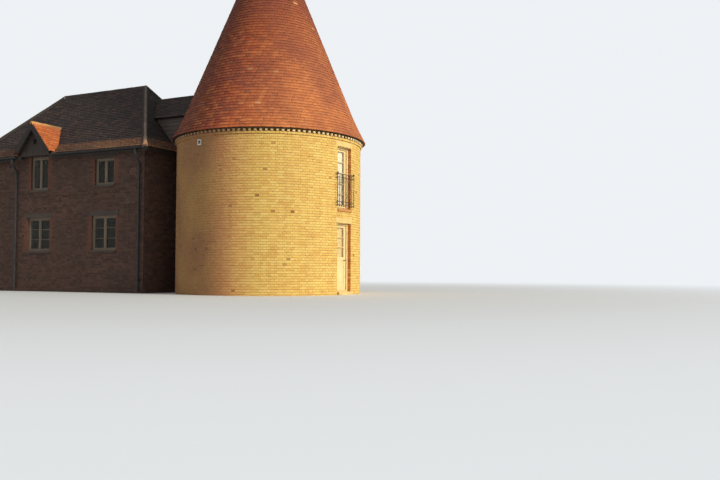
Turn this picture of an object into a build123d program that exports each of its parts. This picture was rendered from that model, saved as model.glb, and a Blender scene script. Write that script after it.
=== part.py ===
# Oast house: a round brick kiln under a tiled cone with a timber cowl, and a two-storey brick wing
# under a hipped tiled roof, joined by a narrow roofed link.
# Millimetres, +Z up. The kiln is drawn about the Z axis with the wing running away along -X, and
# the finished pieces are then moved so that the origin is on the ground under the building's middle.
from build123d import *
import math
import os

# Kiln walls
kiln_radius = 2900
kiln_wall = 330
kiln_wall_segments = 6
seat_gap = 0.3

# Oversailing courses under the kiln's eaves
brick_course = 75
cornice_step = 28
cornice_courses = 2
cornice_drop = 15

# Kiln roof
kiln_eaves_overhang = 140
kiln_roof_slope = 67.86
kiln_roof_depth = 150
kiln_flare = 70
kiln_flare_height = 1000
kiln_throat_radius = 650
kiln_roof_gap = 12

# Kerb and cowl
kerb_height = 160
kerb_thickness = 90
cowl_height = 1900
cowl_base_radius = 590
cowl_top_radius = 190
cowl_board = 30
cowl_mouth_angle = 110
cowl_mouth_low = 160
cowl_mouth_high = 1450
cowl_cap_height = 60
cowl_cap_rim = 40
cowl_vane_length = 620
cowl_vane_height = 110
cowl_vane_thickness = 30

# Floors
ground_floor_thickness = 100
floor_under_tall_window = 60
wing_floor_level = 2750
floor_thickness = 200

# Doorway and tall window of the kiln, one above the other
door_turn = -6.8
kiln_opening_width = 720
door_head = 2140
wall_over_door = 195
tall_window_height = 1870
wall_over_tall_window = 190
lintel_height = 150
lintel_bearing = 62
lintel_proud = 5
frame_recess = 110
frame_depth = 90
frame_width = 50
frame_stop = 12
door_gap = 5
door_thickness = 45
door_stile = 100
door_top_rail = 70
door_mid_rail = 90
door_bottom_rail = 190
tall_window_bottom_rail = 90
door_panel_thickness = 18
door_glass_bottom = 1130
threshold_height = 25
doorstep_proud = 60
pane_thickness = 6
sill_height = 75
sill_proud = 45

# Door hinges and handle
hinge_radius = 8
hinge_pin_radius = 4.5
hinge_height = 45
hinge_plate = 4
hinge_plate_width = 30
hinge_levels = (250, 1100, 1850)
handle_level = 1030
handle_length = 120
handle_radius = 9
handle_stem_radius = 7
handle_standoff = 45

# Railing in front of the tall window
railing_width = 880
railing_reach = 45
railing_height = 1040
railing_base = 60
railing_foot = 105
railing_bar = 14
railing_top_gap = 100
railing_low_gap = 92
railing_baluster_spacing = 105
railing_knob_radius = 28

# Small vent on the kiln wall
vent_turn = -101.5
vent_drop = 410
vent_width = 135
vent_height = 160
vent_reach = 45
vent_rim = 28

# Wing roof
wing_from_kiln = 70
wing_roof_length = 8430
wing_right_hip_run = 2195
wing_left_hip_run = 2420
wing_half_depth = 2464
wing_eaves_level = 4600
wing_sprocket_rise = 305
wing_sprocket_run = 420
wing_ridge_level = 7150
wing_roof_depth = 180

# Wing walls
wing_overhang = 205
wing_wall = 230
string_course_level = 3190
string_course_proud = 22

# Wing windows: sill level, head level, width
upper_window_sill = 3455
upper_window_head = 4320
upper_window_width = 830
dormer_window_sill = 3410
dormer_window_head = 4530
dormer_window_width = 800
lower_window_sill = 1350
lower_window_head = 2470
lower_window_width = 1050
window_recess = 60
window_frame_depth = 70
window_frame_width = 60
wing_lintel_height = 150
wing_lintel_bearing = 80
wing_lintel_proud = 12
wing_sill_height = 65
wing_sill_proud = 40
right_window_from_end = 1840
dormer_from_end = 4750

# Dormer
dormer_half_width = 800
dormer_eaves_level = 4670
dormer_ridge_level = 5640
dormer_verge_reach = 160
dormer_roof_depth = 90
dormer_panel_thickness = 60
dormer_panel_low = 4550
dormer_soffit_thickness = 20
dormer_vent_width = 150
dormer_vent_height = 190
dormer_vent_level = 5030
barge_thickness = 30
barge_depth = 150

# Link between wing and kiln
link_half_width = 850
link_eaves_overhang = 120
link_eaves_level = 5800
link_ridge_level = 6595
link_roof_depth = 110
link_wall = 120
link_lower_wall = 230

# Ridge and hip tiles
ridge_tile_wing = 110
ridge_tile_rise = 62

# Rainwater goods
gutter_radius = 60
gutter_thickness = 5
gutter_drop = 45
pipe_radius = 36
pipe_wall_gap = 40
pipe_inset = 330
pipe_drop = 150
pipe_bend_radius = 90
pipe_foot_level = 60
pipe_clip_levels = (400, 2550)
pipe_clip_height = 40
gutter_end_gap = 20
gutter_dormer_gap = 60

# Worked-out sizes shared by several pieces
tall_window_sill = door_head + lintel_height + wall_over_door + sill_height
tall_window_head = tall_window_sill + tall_window_height
kiln_floor_level = tall_window_sill - floor_under_tall_window
kiln_wall_height = tall_window_head + lintel_height + wall_over_tall_window
door_sill = ground_floor_thickness + threshold_height
vent_level = kiln_wall_height - vent_drop
wing_end_x = -(kiln_radius + wing_from_kiln)
wing_start_x = wing_end_x - wing_roof_length
wing_ridge_end_x = wing_end_x - wing_right_hip_run
wing_ridge_start_x = wing_start_x + wing_left_hip_run
right_window_x = wing_end_x - right_window_from_end
dormer_x = wing_end_x - dormer_from_end
kiln_eaves_radius = kiln_radius + kiln_eaves_overhang
slope_tan = math.tan(math.radians(kiln_roof_slope))
kiln_throat_level = kiln_wall_height + (kiln_eaves_radius - kiln_flare - kiln_throat_radius) * slope_tan
wing_front_y = -(wing_half_depth - wing_overhang)
wing_back_y = -wing_front_y
wing_right_x = wing_end_x - wing_overhang
wing_left_x = wing_start_x + wing_overhang
jamb_face = math.sqrt(kiln_radius**2 - (kiln_opening_width / 2) ** 2)
frame_face = jamb_face - frame_recess
frame_back = frame_face - frame_depth
reach = 20000

pieces = {}


def box(x, y, z):
    """Block between two corners, each axis given as (low, high)."""
    block = Box(x[1] - x[0], y[1] - y[0], z[1] - z[0])
    return Pos((x[0] + x[1]) / 2, (y[0] + y[1]) / 2, (z[0] + z[1]) / 2) * block


def disc(radius, low, high):
    """Upright round block between two levels."""
    return Pos(0, 0, (low + high) / 2) * Cylinder(radius, high - low)


def ring(outer, inner, low, high):
    """Upright ring between two radii and two levels."""
    return disc(outer, low, high) - disc(inner, low - 1, high + 1)


def wedge(start, end, low, high):
    """Sector of a large round block, between two angles in degrees."""
    free = (Align.NONE, Align.NONE, Align.NONE)
    block = Cylinder(reach, high - low, arc_size=end - start, rotation=(0, 0, start), align=free)
    return Pos(0, 0, low) * block


def prism_along_x(points, x):
    """Block with the outline points (y, z), drawn out between two x values."""
    face = make_face(Polyline(*[(x[0], y, z) for y, z in points], close=True))
    return extrude(face, amount=x[1] - x[0], dir=(1, 0, 0))


def prism_along_y(points, y):
    """Block with the outline points (x, z), drawn out between two y values."""
    face = make_face(Polyline(*[(x, y[0], z) for x, z in points], close=True))
    return extrude(face, amount=y[1] - y[0], dir=(0, 1, 0))


def prism_up(points, z):
    """Block with the plan outline points (x, y), drawn up between two levels."""
    face = make_face(Polyline(*[(x, y, z[0]) for x, y in points], close=True))
    return extrude(face, amount=z[1] - z[0], dir=(0, 0, 1))


def turned(shape):
    """Shape drawn about the doorway's centre line, turned into place round the kiln."""
    return Rot(0, 0, door_turn) * shape


def group(*shapes):
    """Separate solids kept together as one piece."""
    solids = []
    for shape in shapes:
        solids.extend(shape.solids())
    return Compound(children=solids)


def opening_column(low, high, extra=0):
    """Upright block through the kiln wall, as wide as the doorway."""
    half = kiln_opening_width / 2 + extra
    return box((kiln_radius - 2 * kiln_wall, kiln_radius + kiln_wall), (-half, half), (low, high))


def lintel(low):
    """Pale lintel that follows the round wall and bears on it at both ends."""
    band = ring(kiln_radius + lintel_proud, kiln_radius - kiln_wall, low, low + lintel_height)
    return turned(band & opening_column(low, low + lintel_height, lintel_bearing))


def build_kiln_walls():
    """Round wall in segments, with the masonry between and over its two openings."""
    wall = ring(kiln_radius, kiln_radius - kiln_wall, 0, kiln_wall_height)
    lower_lintel = lintel(door_head)
    upper_lintel = lintel(tall_window_head)
    column = turned(opening_column(-1, kiln_wall_height + 1))
    step = 360 / kiln_wall_segments
    open_wall = wall - column - lower_lintel - upper_lintel
    for index in range(kiln_wall_segments):
        start = door_turn + index * step
        segment = open_wall & wedge(start, start + step, -1, kiln_wall_height + 1)
        pieces[f"kiln_wall_{index + 1}"] = segment
    between = turned(opening_column(door_head, tall_window_sill - sill_height)) & wall
    pieces["kiln_wall_over_door"] = between - lower_lintel
    above = turned(opening_column(tall_window_head, kiln_wall_height)) & wall
    pieces["kiln_wall_over_window"] = above - upper_lintel
    pieces["door_lintel"] = lower_lintel
    pieces["tall_window_lintel"] = upper_lintel


def build_cornice():
    """Oversailing courses round the wall head, below the eaves."""
    top = kiln_wall_height - cornice_drop
    inner = kiln_radius + seat_gap
    low = top - cornice_courses * brick_course
    profile = [
        (inner, 0, low),
        (kiln_radius + cornice_step, 0, low),
        (kiln_radius + cornice_step, 0, top - brick_course),
        (kiln_radius + 2 * cornice_step, 0, top - brick_course),
        (kiln_radius + 2 * cornice_step, 0, top),
        (inner, 0, top),
    ]
    section = make_face(Polyline(*profile, close=True))
    pieces["kiln_cornice"] = revolve(section, Axis.Z, 360)


def build_kiln_roof():
    """Steep cone of rafters and tiles, with a slight flare towards the eaves."""
    eaves = kiln_wall_height
    straight_foot = kiln_eaves_radius - kiln_flare
    flare_radius = straight_foot - kiln_flare_height / slope_tan
    outer_low = (kiln_eaves_radius, 0, eaves)
    outer_flare = (flare_radius, 0, eaves + kiln_flare_height)
    outer_top = (kiln_throat_radius, 0, kiln_throat_level)
    inset = kiln_roof_depth / math.sin(math.radians(kiln_roof_slope))
    inner_top = (kiln_throat_radius - inset, 0, kiln_throat_level)
    inner_low = (straight_foot - inset, 0, eaves)
    middle_radius = straight_foot - kiln_flare_height / slope_tan / 2
    bend = (middle_radius + kiln_flare / 5, 0, eaves + kiln_flare_height / 2)
    curve = ThreePointArc(outer_low, bend, outer_flare)
    lines = Polyline(outer_flare, outer_top, inner_top, inner_low, outer_low)
    pieces["kiln_roof"] = revolve(make_face(curve + lines), Axis.Z, 360)


def build_cowl():
    """Timber kerb on the throat, and the cowl with its open mouth, cap and vane."""
    kerb_top = kiln_throat_level + kerb_height
    inner = kiln_throat_radius - kerb_thickness
    pieces["kiln_roof_kerb"] = ring(kiln_throat_radius, inner, kiln_throat_level, kerb_top)
    top = kerb_top + cowl_height
    skin = Cone(cowl_base_radius, cowl_top_radius, cowl_height)
    hollow = Cone(cowl_base_radius - cowl_board, cowl_top_radius - cowl_board, cowl_height)
    shell = Pos(0, 0, kerb_top + cowl_height / 2) * (skin - hollow)
    mouth_z = (kerb_top + cowl_mouth_low, kerb_top + cowl_mouth_high)
    pieces["cowl"] = shell - wedge(-cowl_mouth_angle / 2, cowl_mouth_angle / 2, *mouth_z)
    pieces["cowl_cap"] = disc(cowl_top_radius + cowl_cap_rim, top, top + cowl_cap_height)
    vane_low = top - 2 * cowl_vane_height
    radius_low = cowl_top_radius + (cowl_base_radius - cowl_top_radius) * 2 * cowl_vane_height / cowl_height
    vane = box(
        (radius_low, radius_low + cowl_vane_length),
        (-cowl_vane_thickness / 2, cowl_vane_thickness / 2),
        (vane_low, vane_low + cowl_vane_height),
    )
    pieces["cowl_vane"] = vane


def build_kiln_floors():
    """Ground floor with its tongue into the doorway, doorstep, and upper floor behind the tall window."""
    radius = kiln_radius - kiln_wall - seat_gap
    half = kiln_opening_width / 2 - seat_gap
    tongue = box((radius - kiln_wall, frame_back - seat_gap), (-half, half), (0, ground_floor_thickness))
    pieces["kiln_ground_floor"] = disc(radius, 0, ground_floor_thickness) + turned(tongue)
    step = box((frame_face + seat_gap, kiln_radius + doorstep_proud), (-half, half), (0, ground_floor_thickness))
    pieces["doorstep"] = turned(step)
    pieces["kiln_upper_floor"] = disc(radius, kiln_floor_level - floor_thickness, kiln_floor_level)


def opening_frame(low, high, sill_depth):
    """Timber frame with a stop round its outer edge, standing in the reveal."""
    half = kiln_opening_width / 2
    outer = box((frame_back, frame_face), (-half, half), (low, high))
    clear = half - frame_width
    stop = clear - frame_stop
    leaf_room = (frame_back - 1, frame_back + door_thickness + door_gap)
    back_hole = box(leaf_room, (-clear, clear), (low + sill_depth, high - frame_width))
    front_z = (low + sill_depth, high - frame_width - frame_stop)
    front_hole = box((frame_back, frame_face + 1), (-stop, stop), front_z)
    return outer - back_hole - front_hole


def glazed_leaf(low, high, gap, bottom_rail, panel_top):
    """Leaf with stiles, rails and one tall light, over a thin panel where panel_top isn't zero."""
    half = kiln_opening_width / 2 - frame_width - gap
    x = (frame_back, frame_back + door_thickness)
    leaf = box(x, (-half, half), (low, high))
    glass_half = half - door_stile
    light_low = panel_top + door_mid_rail if panel_top else low + bottom_rail
    light = (light_low, high - door_top_rail)
    leaf -= box((x[0] - 1, x[1] + 1), (-glass_half, glass_half), light)
    middle = (x[0] + x[1]) / 2
    if panel_top:
        field = (low + bottom_rail, panel_top)
        half_panel = door_panel_thickness / 2
        for side in ((x[0] - 1, middle - half_panel), (middle + half_panel, x[1] + 1)):
            leaf -= box(side, (-glass_half, glass_half), field)
    pane_x = (middle - pane_thickness / 2, middle + pane_thickness / 2)
    pane = box(pane_x, (-glass_half, glass_half), light)
    return leaf, pane


def build_door():
    """Doorway: threshold, frame, inward-opening leaf, its glass, hinges and handle."""
    half = kiln_opening_width / 2
    frame = opening_frame(0, door_head, door_sill)
    low = door_sill + door_gap
    high = door_head - frame_width - door_gap
    leaf, pane = glazed_leaf(low, high, door_gap, door_bottom_rail, door_glass_bottom - door_mid_rail)
    axis_x = frame_back - hinge_radius - hinge_plate / 4
    axis_y = -(half - frame_width - door_gap / 2)
    for level in hinge_levels:
        fixed = Pos(axis_x, axis_y, level + hinge_height / 2) * Cylinder(hinge_radius, hinge_height)
        pin = Pos(axis_x, axis_y, level + hinge_height) * Cylinder(hinge_pin_radius, 2 * hinge_height - 2)
        plate_x = (frame_back - hinge_plate, frame_back)
        fixed_plate = box(plate_x, (axis_y - hinge_plate_width, axis_y), (level, level + hinge_height))
        frame += fixed + pin + fixed_plate
        upper = (level + hinge_height + seat_gap, level + 2 * hinge_height)
        barrel = Pos(axis_x, axis_y, (upper[0] + upper[1]) / 2)
        moving = barrel * Cylinder(hinge_radius, upper[1] - upper[0])
        moving_plate = box(plate_x, (axis_y, axis_y + hinge_plate_width), upper)
        bore = barrel * Cylinder(hinge_pin_radius + seat_gap, 2 * hinge_height)
        leaf += moving + moving_plate
        leaf -= bore
    hand_y = half - frame_width - door_gap - door_stile / 2
    for face, side in ((frame_back, -1), (frame_back + door_thickness, 1)):
        stem = Rot(0, 90, 0) * Cylinder(handle_stem_radius, handle_standoff - handle_radius)
        stem = Pos(face + side * (handle_standoff - handle_radius) / 2, hand_y, handle_level) * stem
        grip_y = hand_y + 2 * handle_stem_radius - handle_length / 2
        grip = Pos(face + side * (handle_standoff - handle_radius), grip_y, handle_level)
        leaf += stem + grip * Rot(90, 0, 0) * Cylinder(handle_radius, handle_length)
    pieces["door_frame"] = turned(frame)
    pieces["door_leaf"] = turned(leaf)
    pieces["door_glass"] = turned(pane)


def build_tall_window():
    """Fixed tall window over the doorway, with its sill."""
    frame = opening_frame(tall_window_sill, tall_window_head, frame_width)
    low = tall_window_sill + frame_width
    leaf, pane = glazed_leaf(low, tall_window_head - frame_width, 0, tall_window_bottom_rail, 0)
    pieces["tall_window_frame"] = turned(frame)
    pieces["tall_window_leaf"] = turned(leaf)
    pieces["tall_window_glass"] = turned(pane)
    sill_z = (tall_window_sill - sill_height, tall_window_sill)
    band = ring(kiln_radius + sill_proud, kiln_radius - kiln_wall, *sill_z)
    pieces["tall_window_sill"] = turned(band & opening_column(*sill_z))


def build_railing():
    """Wrought-iron railing fixed to the wall in front of the tall window."""
    half = railing_width / 2
    front = kiln_radius + railing_reach
    base = tall_window_sill + railing_base
    foot = tall_window_sill + railing_foot
    top = tall_window_sill + railing_height
    bar = railing_bar
    wall_x = math.sqrt(kiln_radius**2 - (half - bar) ** 2) + seat_gap
    rails = Part()
    for level in (top - bar, top - bar - railing_top_gap, foot, foot + railing_low_gap):
        z = (level, level + bar)
        rails += box((front - bar, front), (-half, half), z)
        for side in (-half, half - bar):
            rails += box((wall_x, front), (side, side + bar), z)
    count = round((railing_width - bar) / railing_baluster_spacing)
    spacing = (railing_width - bar) / count
    for index in range(count + 1):
        y = -half + index * spacing
        rails += box((front - bar, front), (y, y + bar), (base, top))
    for side in (-half + bar / 2, half - bar / 2):
        rails += Pos(front - bar / 2, side, top + railing_knob_radius - bar / 2) * Sphere(railing_knob_radius)
    pieces["railing"] = turned(rails)


def build_vent():
    """Small square vent hood on the kiln wall."""
    z = (vent_level, vent_level + vent_height)
    half = vent_width / 2
    flat = kiln_radius - half**2 / kiln_radius
    body = box((flat, kiln_radius + vent_reach), (-half, half), z)
    inner = half - vent_rim
    mouth_x = (kiln_radius + vent_reach / 2, kiln_radius + vent_reach + 1)
    body -= box(mouth_x, (-inner, inner), (z[0] + vent_rim, z[1] - vent_rim))
    body -= disc(kiln_radius + seat_gap, z[0] - 1, z[1] + 1)
    pieces["kiln_vent"] = Rot(0, 0, vent_turn) * body


def wing_envelope(drop):
    """Everything under the wing roof's surface, lowered by drop, down to below the ground."""
    base = -reach
    run = wing_sprocket_run
    rise = wing_eaves_level + wing_sprocket_rise
    across = [
        (-wing_half_depth, wing_eaves_level),
        (-wing_half_depth + run, rise),
        (0, wing_ridge_level),
        (wing_half_depth - run, rise),
        (wing_half_depth, wing_eaves_level),
        (wing_half_depth, base),
        (-wing_half_depth, base),
    ]
    left_run = run * (wing_ridge_start_x - wing_start_x) / wing_half_depth
    right_run = run * (wing_end_x - wing_ridge_end_x) / wing_half_depth
    along = [
        (wing_start_x, wing_eaves_level),
        (wing_start_x + left_run, rise),
        (wing_ridge_start_x, wing_ridge_level),
        (wing_ridge_end_x, wing_ridge_level),
        (wing_end_x - right_run, rise),
        (wing_end_x, wing_eaves_level),
        (wing_end_x, base),
        (wing_start_x, base),
    ]
    across_block = prism_along_x(across, (wing_start_x - 1, wing_end_x + 1))
    along_block = prism_along_y(along, (-wing_half_depth - 1, wing_half_depth + 1))
    return Pos(0, 0, -drop) * (across_block & along_block)


def gable_prism(centre, half, eaves, ridge, y, drop=0):
    """Block under a small gabled roof that runs along Y, down to its eaves level."""
    points = [(centre - half, eaves - drop), (centre, ridge - drop), (centre + half, eaves - drop)]
    return prism_along_y(points, y)


def window_block(x, width, sill, head, back):
    """Hole through a long wall for a window."""
    return box((x - width / 2, x + width / 2), face_band(-1, wing_wall + 1, back), (sill, head))


def wing_windows():
    """Place and size of each window: centre, width, sill, head, whether it is in the back wall."""
    rows = []
    for back in (False, True):
        rows.append((right_window_x, upper_window_width, upper_window_sill, upper_window_head, back))
        rows.append((right_window_x, lower_window_width, lower_window_sill, lower_window_head, back))
        rows.append((dormer_x, lower_window_width, lower_window_sill, lower_window_head, back))
    rows.append((dormer_x, dormer_window_width, dormer_window_sill, dormer_window_head, False))
    rows.append((dormer_x, upper_window_width, upper_window_sill, upper_window_head, True))
    return rows


def build_wing_walls():
    """Four walls of the wing up to the underside of its roof, with the windows cut through."""
    under = wing_envelope(wing_roof_depth)
    outer = (wing_left_x, wing_right_x)
    z = (0, wing_ridge_level)
    front = box(outer, (wing_front_y, wing_front_y + wing_wall), z) & under
    back = box(outer, (wing_back_y - wing_wall, wing_back_y), z) & under
    inner_y = (wing_front_y + wing_wall, wing_back_y - wing_wall)
    left = box((wing_left_x, wing_left_x + wing_wall), inner_y, z) & under
    right = box((wing_right_x - wing_wall, wing_right_x), inner_y, z) & under
    course_z = (string_course_level, string_course_level + brick_course)
    front += box(outer, (wing_front_y - string_course_proud, wing_front_y), course_z)
    frames = []
    panes = []
    lintels = []
    for x, width, sill, head, is_back in wing_windows():
        hole = window_block(x, width, sill, head, is_back)
        frame, glass = casement(x, width, sill, head, is_back)
        frames.append(frame)
        panes.append(glass)
        if head != dormer_window_head:
            beam = wing_lintel(x, width, head, is_back)
            lintels.append(beam)
            front -= beam
            back -= beam
        ledge = wing_sill(x, width, sill, is_back)
        lintels.append(ledge)
        front = front - hole - ledge
        back = back - hole - ledge
    pieces["wing_front_wall"] = front
    pieces["wing_back_wall"] = back
    pieces["wing_left_wall"] = left
    pieces["wing_right_wall"] = right
    pieces["wing_window_frames"] = group(*frames)
    pieces["wing_window_glass"] = group(*panes)
    pieces["wing_lintels_and_sills"] = group(*lintels)


def face_band(near, far, is_back):
    """Pair of y values at two depths into a long wall, counted inwards from its outer face."""
    if is_back:
        return (wing_back_y - far, wing_back_y - near)
    return (wing_front_y + near, wing_front_y + far)


def casement(x, width, sill, head, is_back):
    """Two-light timber window: the frame with its mullion, and its two panes."""
    y = face_band(window_recess, window_recess + window_frame_depth, is_back)
    frame = box((x - width / 2, x + width / 2), y, (sill, head))
    rim = window_frame_width
    half_light = (width - 3 * rim) / 2
    middle = (y[0] + y[1]) / 2
    panes = []
    for side in (-1, 1):
        centre = x + side * (half_light + rim) / 2
        light = (centre - half_light / 2, centre + half_light / 2)
        z = (sill + rim, head - rim)
        frame -= box(light, (y[0] - 1, y[1] + 1), z)
        panes.append(box(light, (middle - pane_thickness / 2, middle + pane_thickness / 2), z))
    return frame, group(*panes)


def wing_lintel(x, width, head, is_back):
    """Timber lintel over a window of the wing."""
    half = width / 2 + wing_lintel_bearing
    y = face_band(-wing_lintel_proud, wing_wall, is_back)
    return box((x - half, x + half), y, (head, head + wing_lintel_height))


def wing_sill(x, width, sill, is_back):
    """Sill of a window of the wing, projecting in front of the wall."""
    y = face_band(-wing_sill_proud, window_recess + window_frame_depth, is_back)
    return box((x - width / 2, x + width / 2), y, (sill - wing_sill_height, sill))


def build_wing_floors():
    """Ground slab and upper floor between the wing's walls."""
    x = (wing_left_x + wing_wall, wing_right_x - wing_wall)
    y = (wing_front_y + wing_wall, wing_back_y - wing_wall)
    pieces["wing_ground_floor"] = box(x, y, (0, ground_floor_thickness))
    pieces["wing_upper_floor"] = box(x, y, (wing_floor_level - floor_thickness, wing_floor_level))


def kiln_clearance():
    """Room that the kiln's wall and roof take up, with a small gap, for what meets them."""
    straight_foot = kiln_eaves_radius - kiln_flare
    gap = kiln_roof_gap
    cornice_low = kiln_wall_height - cornice_drop - (cornice_courses + 1) * brick_course
    low = disc(kiln_eaves_radius + gap, cornice_low, kiln_wall_height + 1)
    flare_radius = straight_foot - kiln_flare_height / slope_tan
    flare = Cone(kiln_eaves_radius + gap, flare_radius + gap, kiln_flare_height)
    flare = Pos(0, 0, kiln_wall_height + kiln_flare_height / 2) * flare
    rest = kiln_throat_level - kiln_wall_height - kiln_flare_height
    cone = Pos(0, 0, kiln_throat_level - rest / 2) * Cone(flare_radius + gap, kiln_throat_radius + gap, rest)
    return low + flare + cone


def dormer_hollow():
    """Inside of the dormer, cut out of the wing's front slope."""
    inner_half = dormer_half_width - barge_depth
    pitch = (dormer_ridge_level - dormer_eaves_level) / dormer_half_width
    drop = dormer_roof_depth * math.hypot(1, pitch)
    ridge = dormer_ridge_level - drop
    low = ridge - inner_half * pitch
    floor = wing_eaves_level - 2 * wing_roof_depth
    points = [
        (dormer_x - inner_half, floor),
        (dormer_x - inner_half, low),
        (dormer_x, ridge),
        (dormer_x + inner_half, low),
        (dormer_x + inner_half, floor),
    ]
    return prism_along_y(points, (-wing_half_depth - dormer_verge_reach, 0))


def build_wing_roof():
    """Four tiled slopes with sprocketed feet, cut at the hips, the dormer and the kiln."""
    shell = wing_envelope(0) - wing_envelope(wing_roof_depth)
    low = wing_eaves_level - 2 * wing_roof_depth
    shell = shell & box((-reach, reach), (-reach, reach), (low, wing_ridge_level + 1))
    shell -= kiln_clearance()
    far_left = (wing_start_x, wing_half_depth)
    near_left = (wing_start_x, -wing_half_depth)
    far_right = (wing_end_x, wing_half_depth)
    near_right = (wing_end_x, -wing_half_depth)
    ridge_left = (wing_ridge_start_x, 0)
    ridge_right = (wing_ridge_end_x, 0)
    z = (low - 1, wing_ridge_level + 1)
    front = shell & prism_up([near_left, near_right, ridge_right, ridge_left], z)
    pieces["wing_roof_front"] = front - dormer_hollow()
    pieces["wing_roof_back"] = shell & prism_up([far_right, far_left, ridge_left, ridge_right], z)
    pieces["wing_roof_left_hip"] = shell & prism_up([far_left, near_left, ridge_left], z)
    right = shell & prism_up([near_right, far_right, ridge_right], z)
    pieces["wing_roof_right_hip"] = right - link_hollow()


def build_dormer():
    """Gabled dormer over the tall window: roof, boarded gable with its vent, and bargeboards."""
    front = -wing_half_depth - dormer_verge_reach
    pitch = (dormer_ridge_level - dormer_eaves_level) / dormer_half_width
    drop = dormer_roof_depth * math.hypot(1, pitch)
    y = (front, 0)
    outer = gable_prism(dormer_x, dormer_half_width, dormer_eaves_level, dormer_ridge_level, y)
    wide = dormer_half_width + 1
    low_eaves = dormer_eaves_level - pitch
    inner = gable_prism(dormer_x, wide, low_eaves, dormer_ridge_level, (front - 1, 1), drop)
    pieces["dormer_roof"] = outer - inner - wing_envelope(0)
    inner_half = dormer_half_width - barge_depth
    low = dormer_panel_low
    ridge = dormer_ridge_level - drop
    panel_front = -wing_half_depth
    shoulder = ridge - inner_half * pitch
    points = [
        (dormer_x - inner_half, low),
        (dormer_x - inner_half, shoulder),
        (dormer_x, ridge),
        (dormer_x + inner_half, shoulder),
        (dormer_x + inner_half, low),
    ]
    panel = prism_along_y(points, (panel_front, panel_front + dormer_panel_thickness))
    vent_half = dormer_vent_width / 2
    vent_z = (dormer_vent_level - dormer_vent_height / 2, dormer_vent_level + dormer_vent_height / 2)
    through = (panel_front - 1, panel_front + dormer_panel_thickness + 1)
    panel -= box((dormer_x - vent_half, dormer_x + vent_half), through, vent_z)
    soffit = box(
        (dormer_x - inner_half, dormer_x + inner_half),
        (panel_front + dormer_panel_thickness, wing_front_y),
        (low, low + dormer_soffit_thickness),
    )
    pieces["dormer_gable"] = panel + soffit
    y = (front - barge_thickness, front)
    barge = gable_prism(dormer_x, dormer_half_width, dormer_eaves_level, dormer_ridge_level, y)
    barge_drop = barge_depth * math.hypot(1, pitch)
    y = (front - barge_thickness - 1, front + 1)
    barge -= gable_prism(dormer_x, wide, low_eaves, dormer_ridge_level, y, barge_drop)
    pieces["dormer_bargeboards"] = barge


def link_hollow():
    """Inside of the link, cut out of the wing's hip."""
    inner = link_half_width - link_eaves_overhang - link_wall
    return box((wing_ridge_end_x, 0), (-inner, inner), (wing_eaves_level, link_eaves_level))


def build_link():
    """Narrow link: brick walls below, boarded cheeks above, and a small gabled roof."""
    pitch = (link_ridge_level - link_eaves_level) / link_half_width
    drop = link_roof_depth * math.hypot(1, pitch)
    ridge_x = (wing_ridge_end_x, -kiln_throat_radius)
    section = [
        (-link_half_width, link_eaves_level),
        (0, link_ridge_level),
        (link_half_width, link_eaves_level),
    ]
    outer = prism_along_x(section, ridge_x)
    lower = [
        (-link_half_width - 1, link_eaves_level - pitch - drop),
        (0, link_ridge_level - drop),
        (link_half_width + 1, link_eaves_level - pitch - drop),
    ]
    inner = prism_along_x(lower, (ridge_x[0] - 1, ridge_x[1] + 1))
    roof = outer - inner - wing_envelope(0) - kiln_clearance()
    pieces["link_roof"] = roof
    wall_out = link_half_width - link_eaves_overhang
    under = prism_along_x(
        [
            (-link_half_width, link_eaves_level - drop),
            (0, link_ridge_level - drop),
            (link_half_width, link_eaves_level - drop),
            (link_half_width, -1),
            (-link_half_width, -1),
        ],
        (ridge_x[0], 0),
    )
    cheeks = []
    lowers = []
    for side in (-1, 1):
        y = sorted((side * wall_out, side * (wall_out - link_wall)))
        cheek = box((wing_ridge_end_x, 0), y, (wing_eaves_level - wing_roof_depth, link_ridge_level)) & under
        cheek = cheek - wing_envelope(0) - kiln_clearance() - disc(kiln_eaves_radius, 0, kiln_wall_height)
        cheeks.append(cheek)
        y = sorted((side * wall_out, side * (wall_out - link_lower_wall)))
        lower_wall = box((wing_right_x, 0), y, (0, wing_eaves_level - wing_roof_depth))
        lowers.append(lower_wall - disc(kiln_radius + seat_gap, -1, kiln_wall_height))
    pieces["link_cheeks"] = group(*cheeks)
    pieces["link_lower_walls"] = group(*lowers)


def tile_line(start, end, run_a, run_b):
    """Line of half-round tiles from start to end, bedded on the two slopes that meet there.

    run_a and run_b are directions that lie in the two slopes and point down them.
    """
    line = (Vector(*end) - Vector(*start)).normalized()
    foot = Vector(*start)
    arms = []
    for run in (run_a, run_b):
        down = Vector(*run)
        down = (down - line * down.dot(line)).normalized()
        arms.append(down)
    up = (arms[0] + arms[1]).normalized() * -ridge_tile_rise
    wings = [foot + arm * ridge_tile_wing for arm in arms]
    crown = ThreePointArc(wings[0], foot + up, wings[1])
    section = make_face(crown + Polyline(wings[1], foot, wings[0]))
    return extrude(section, amount=(Vector(*end) - foot).length, dir=line)


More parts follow.
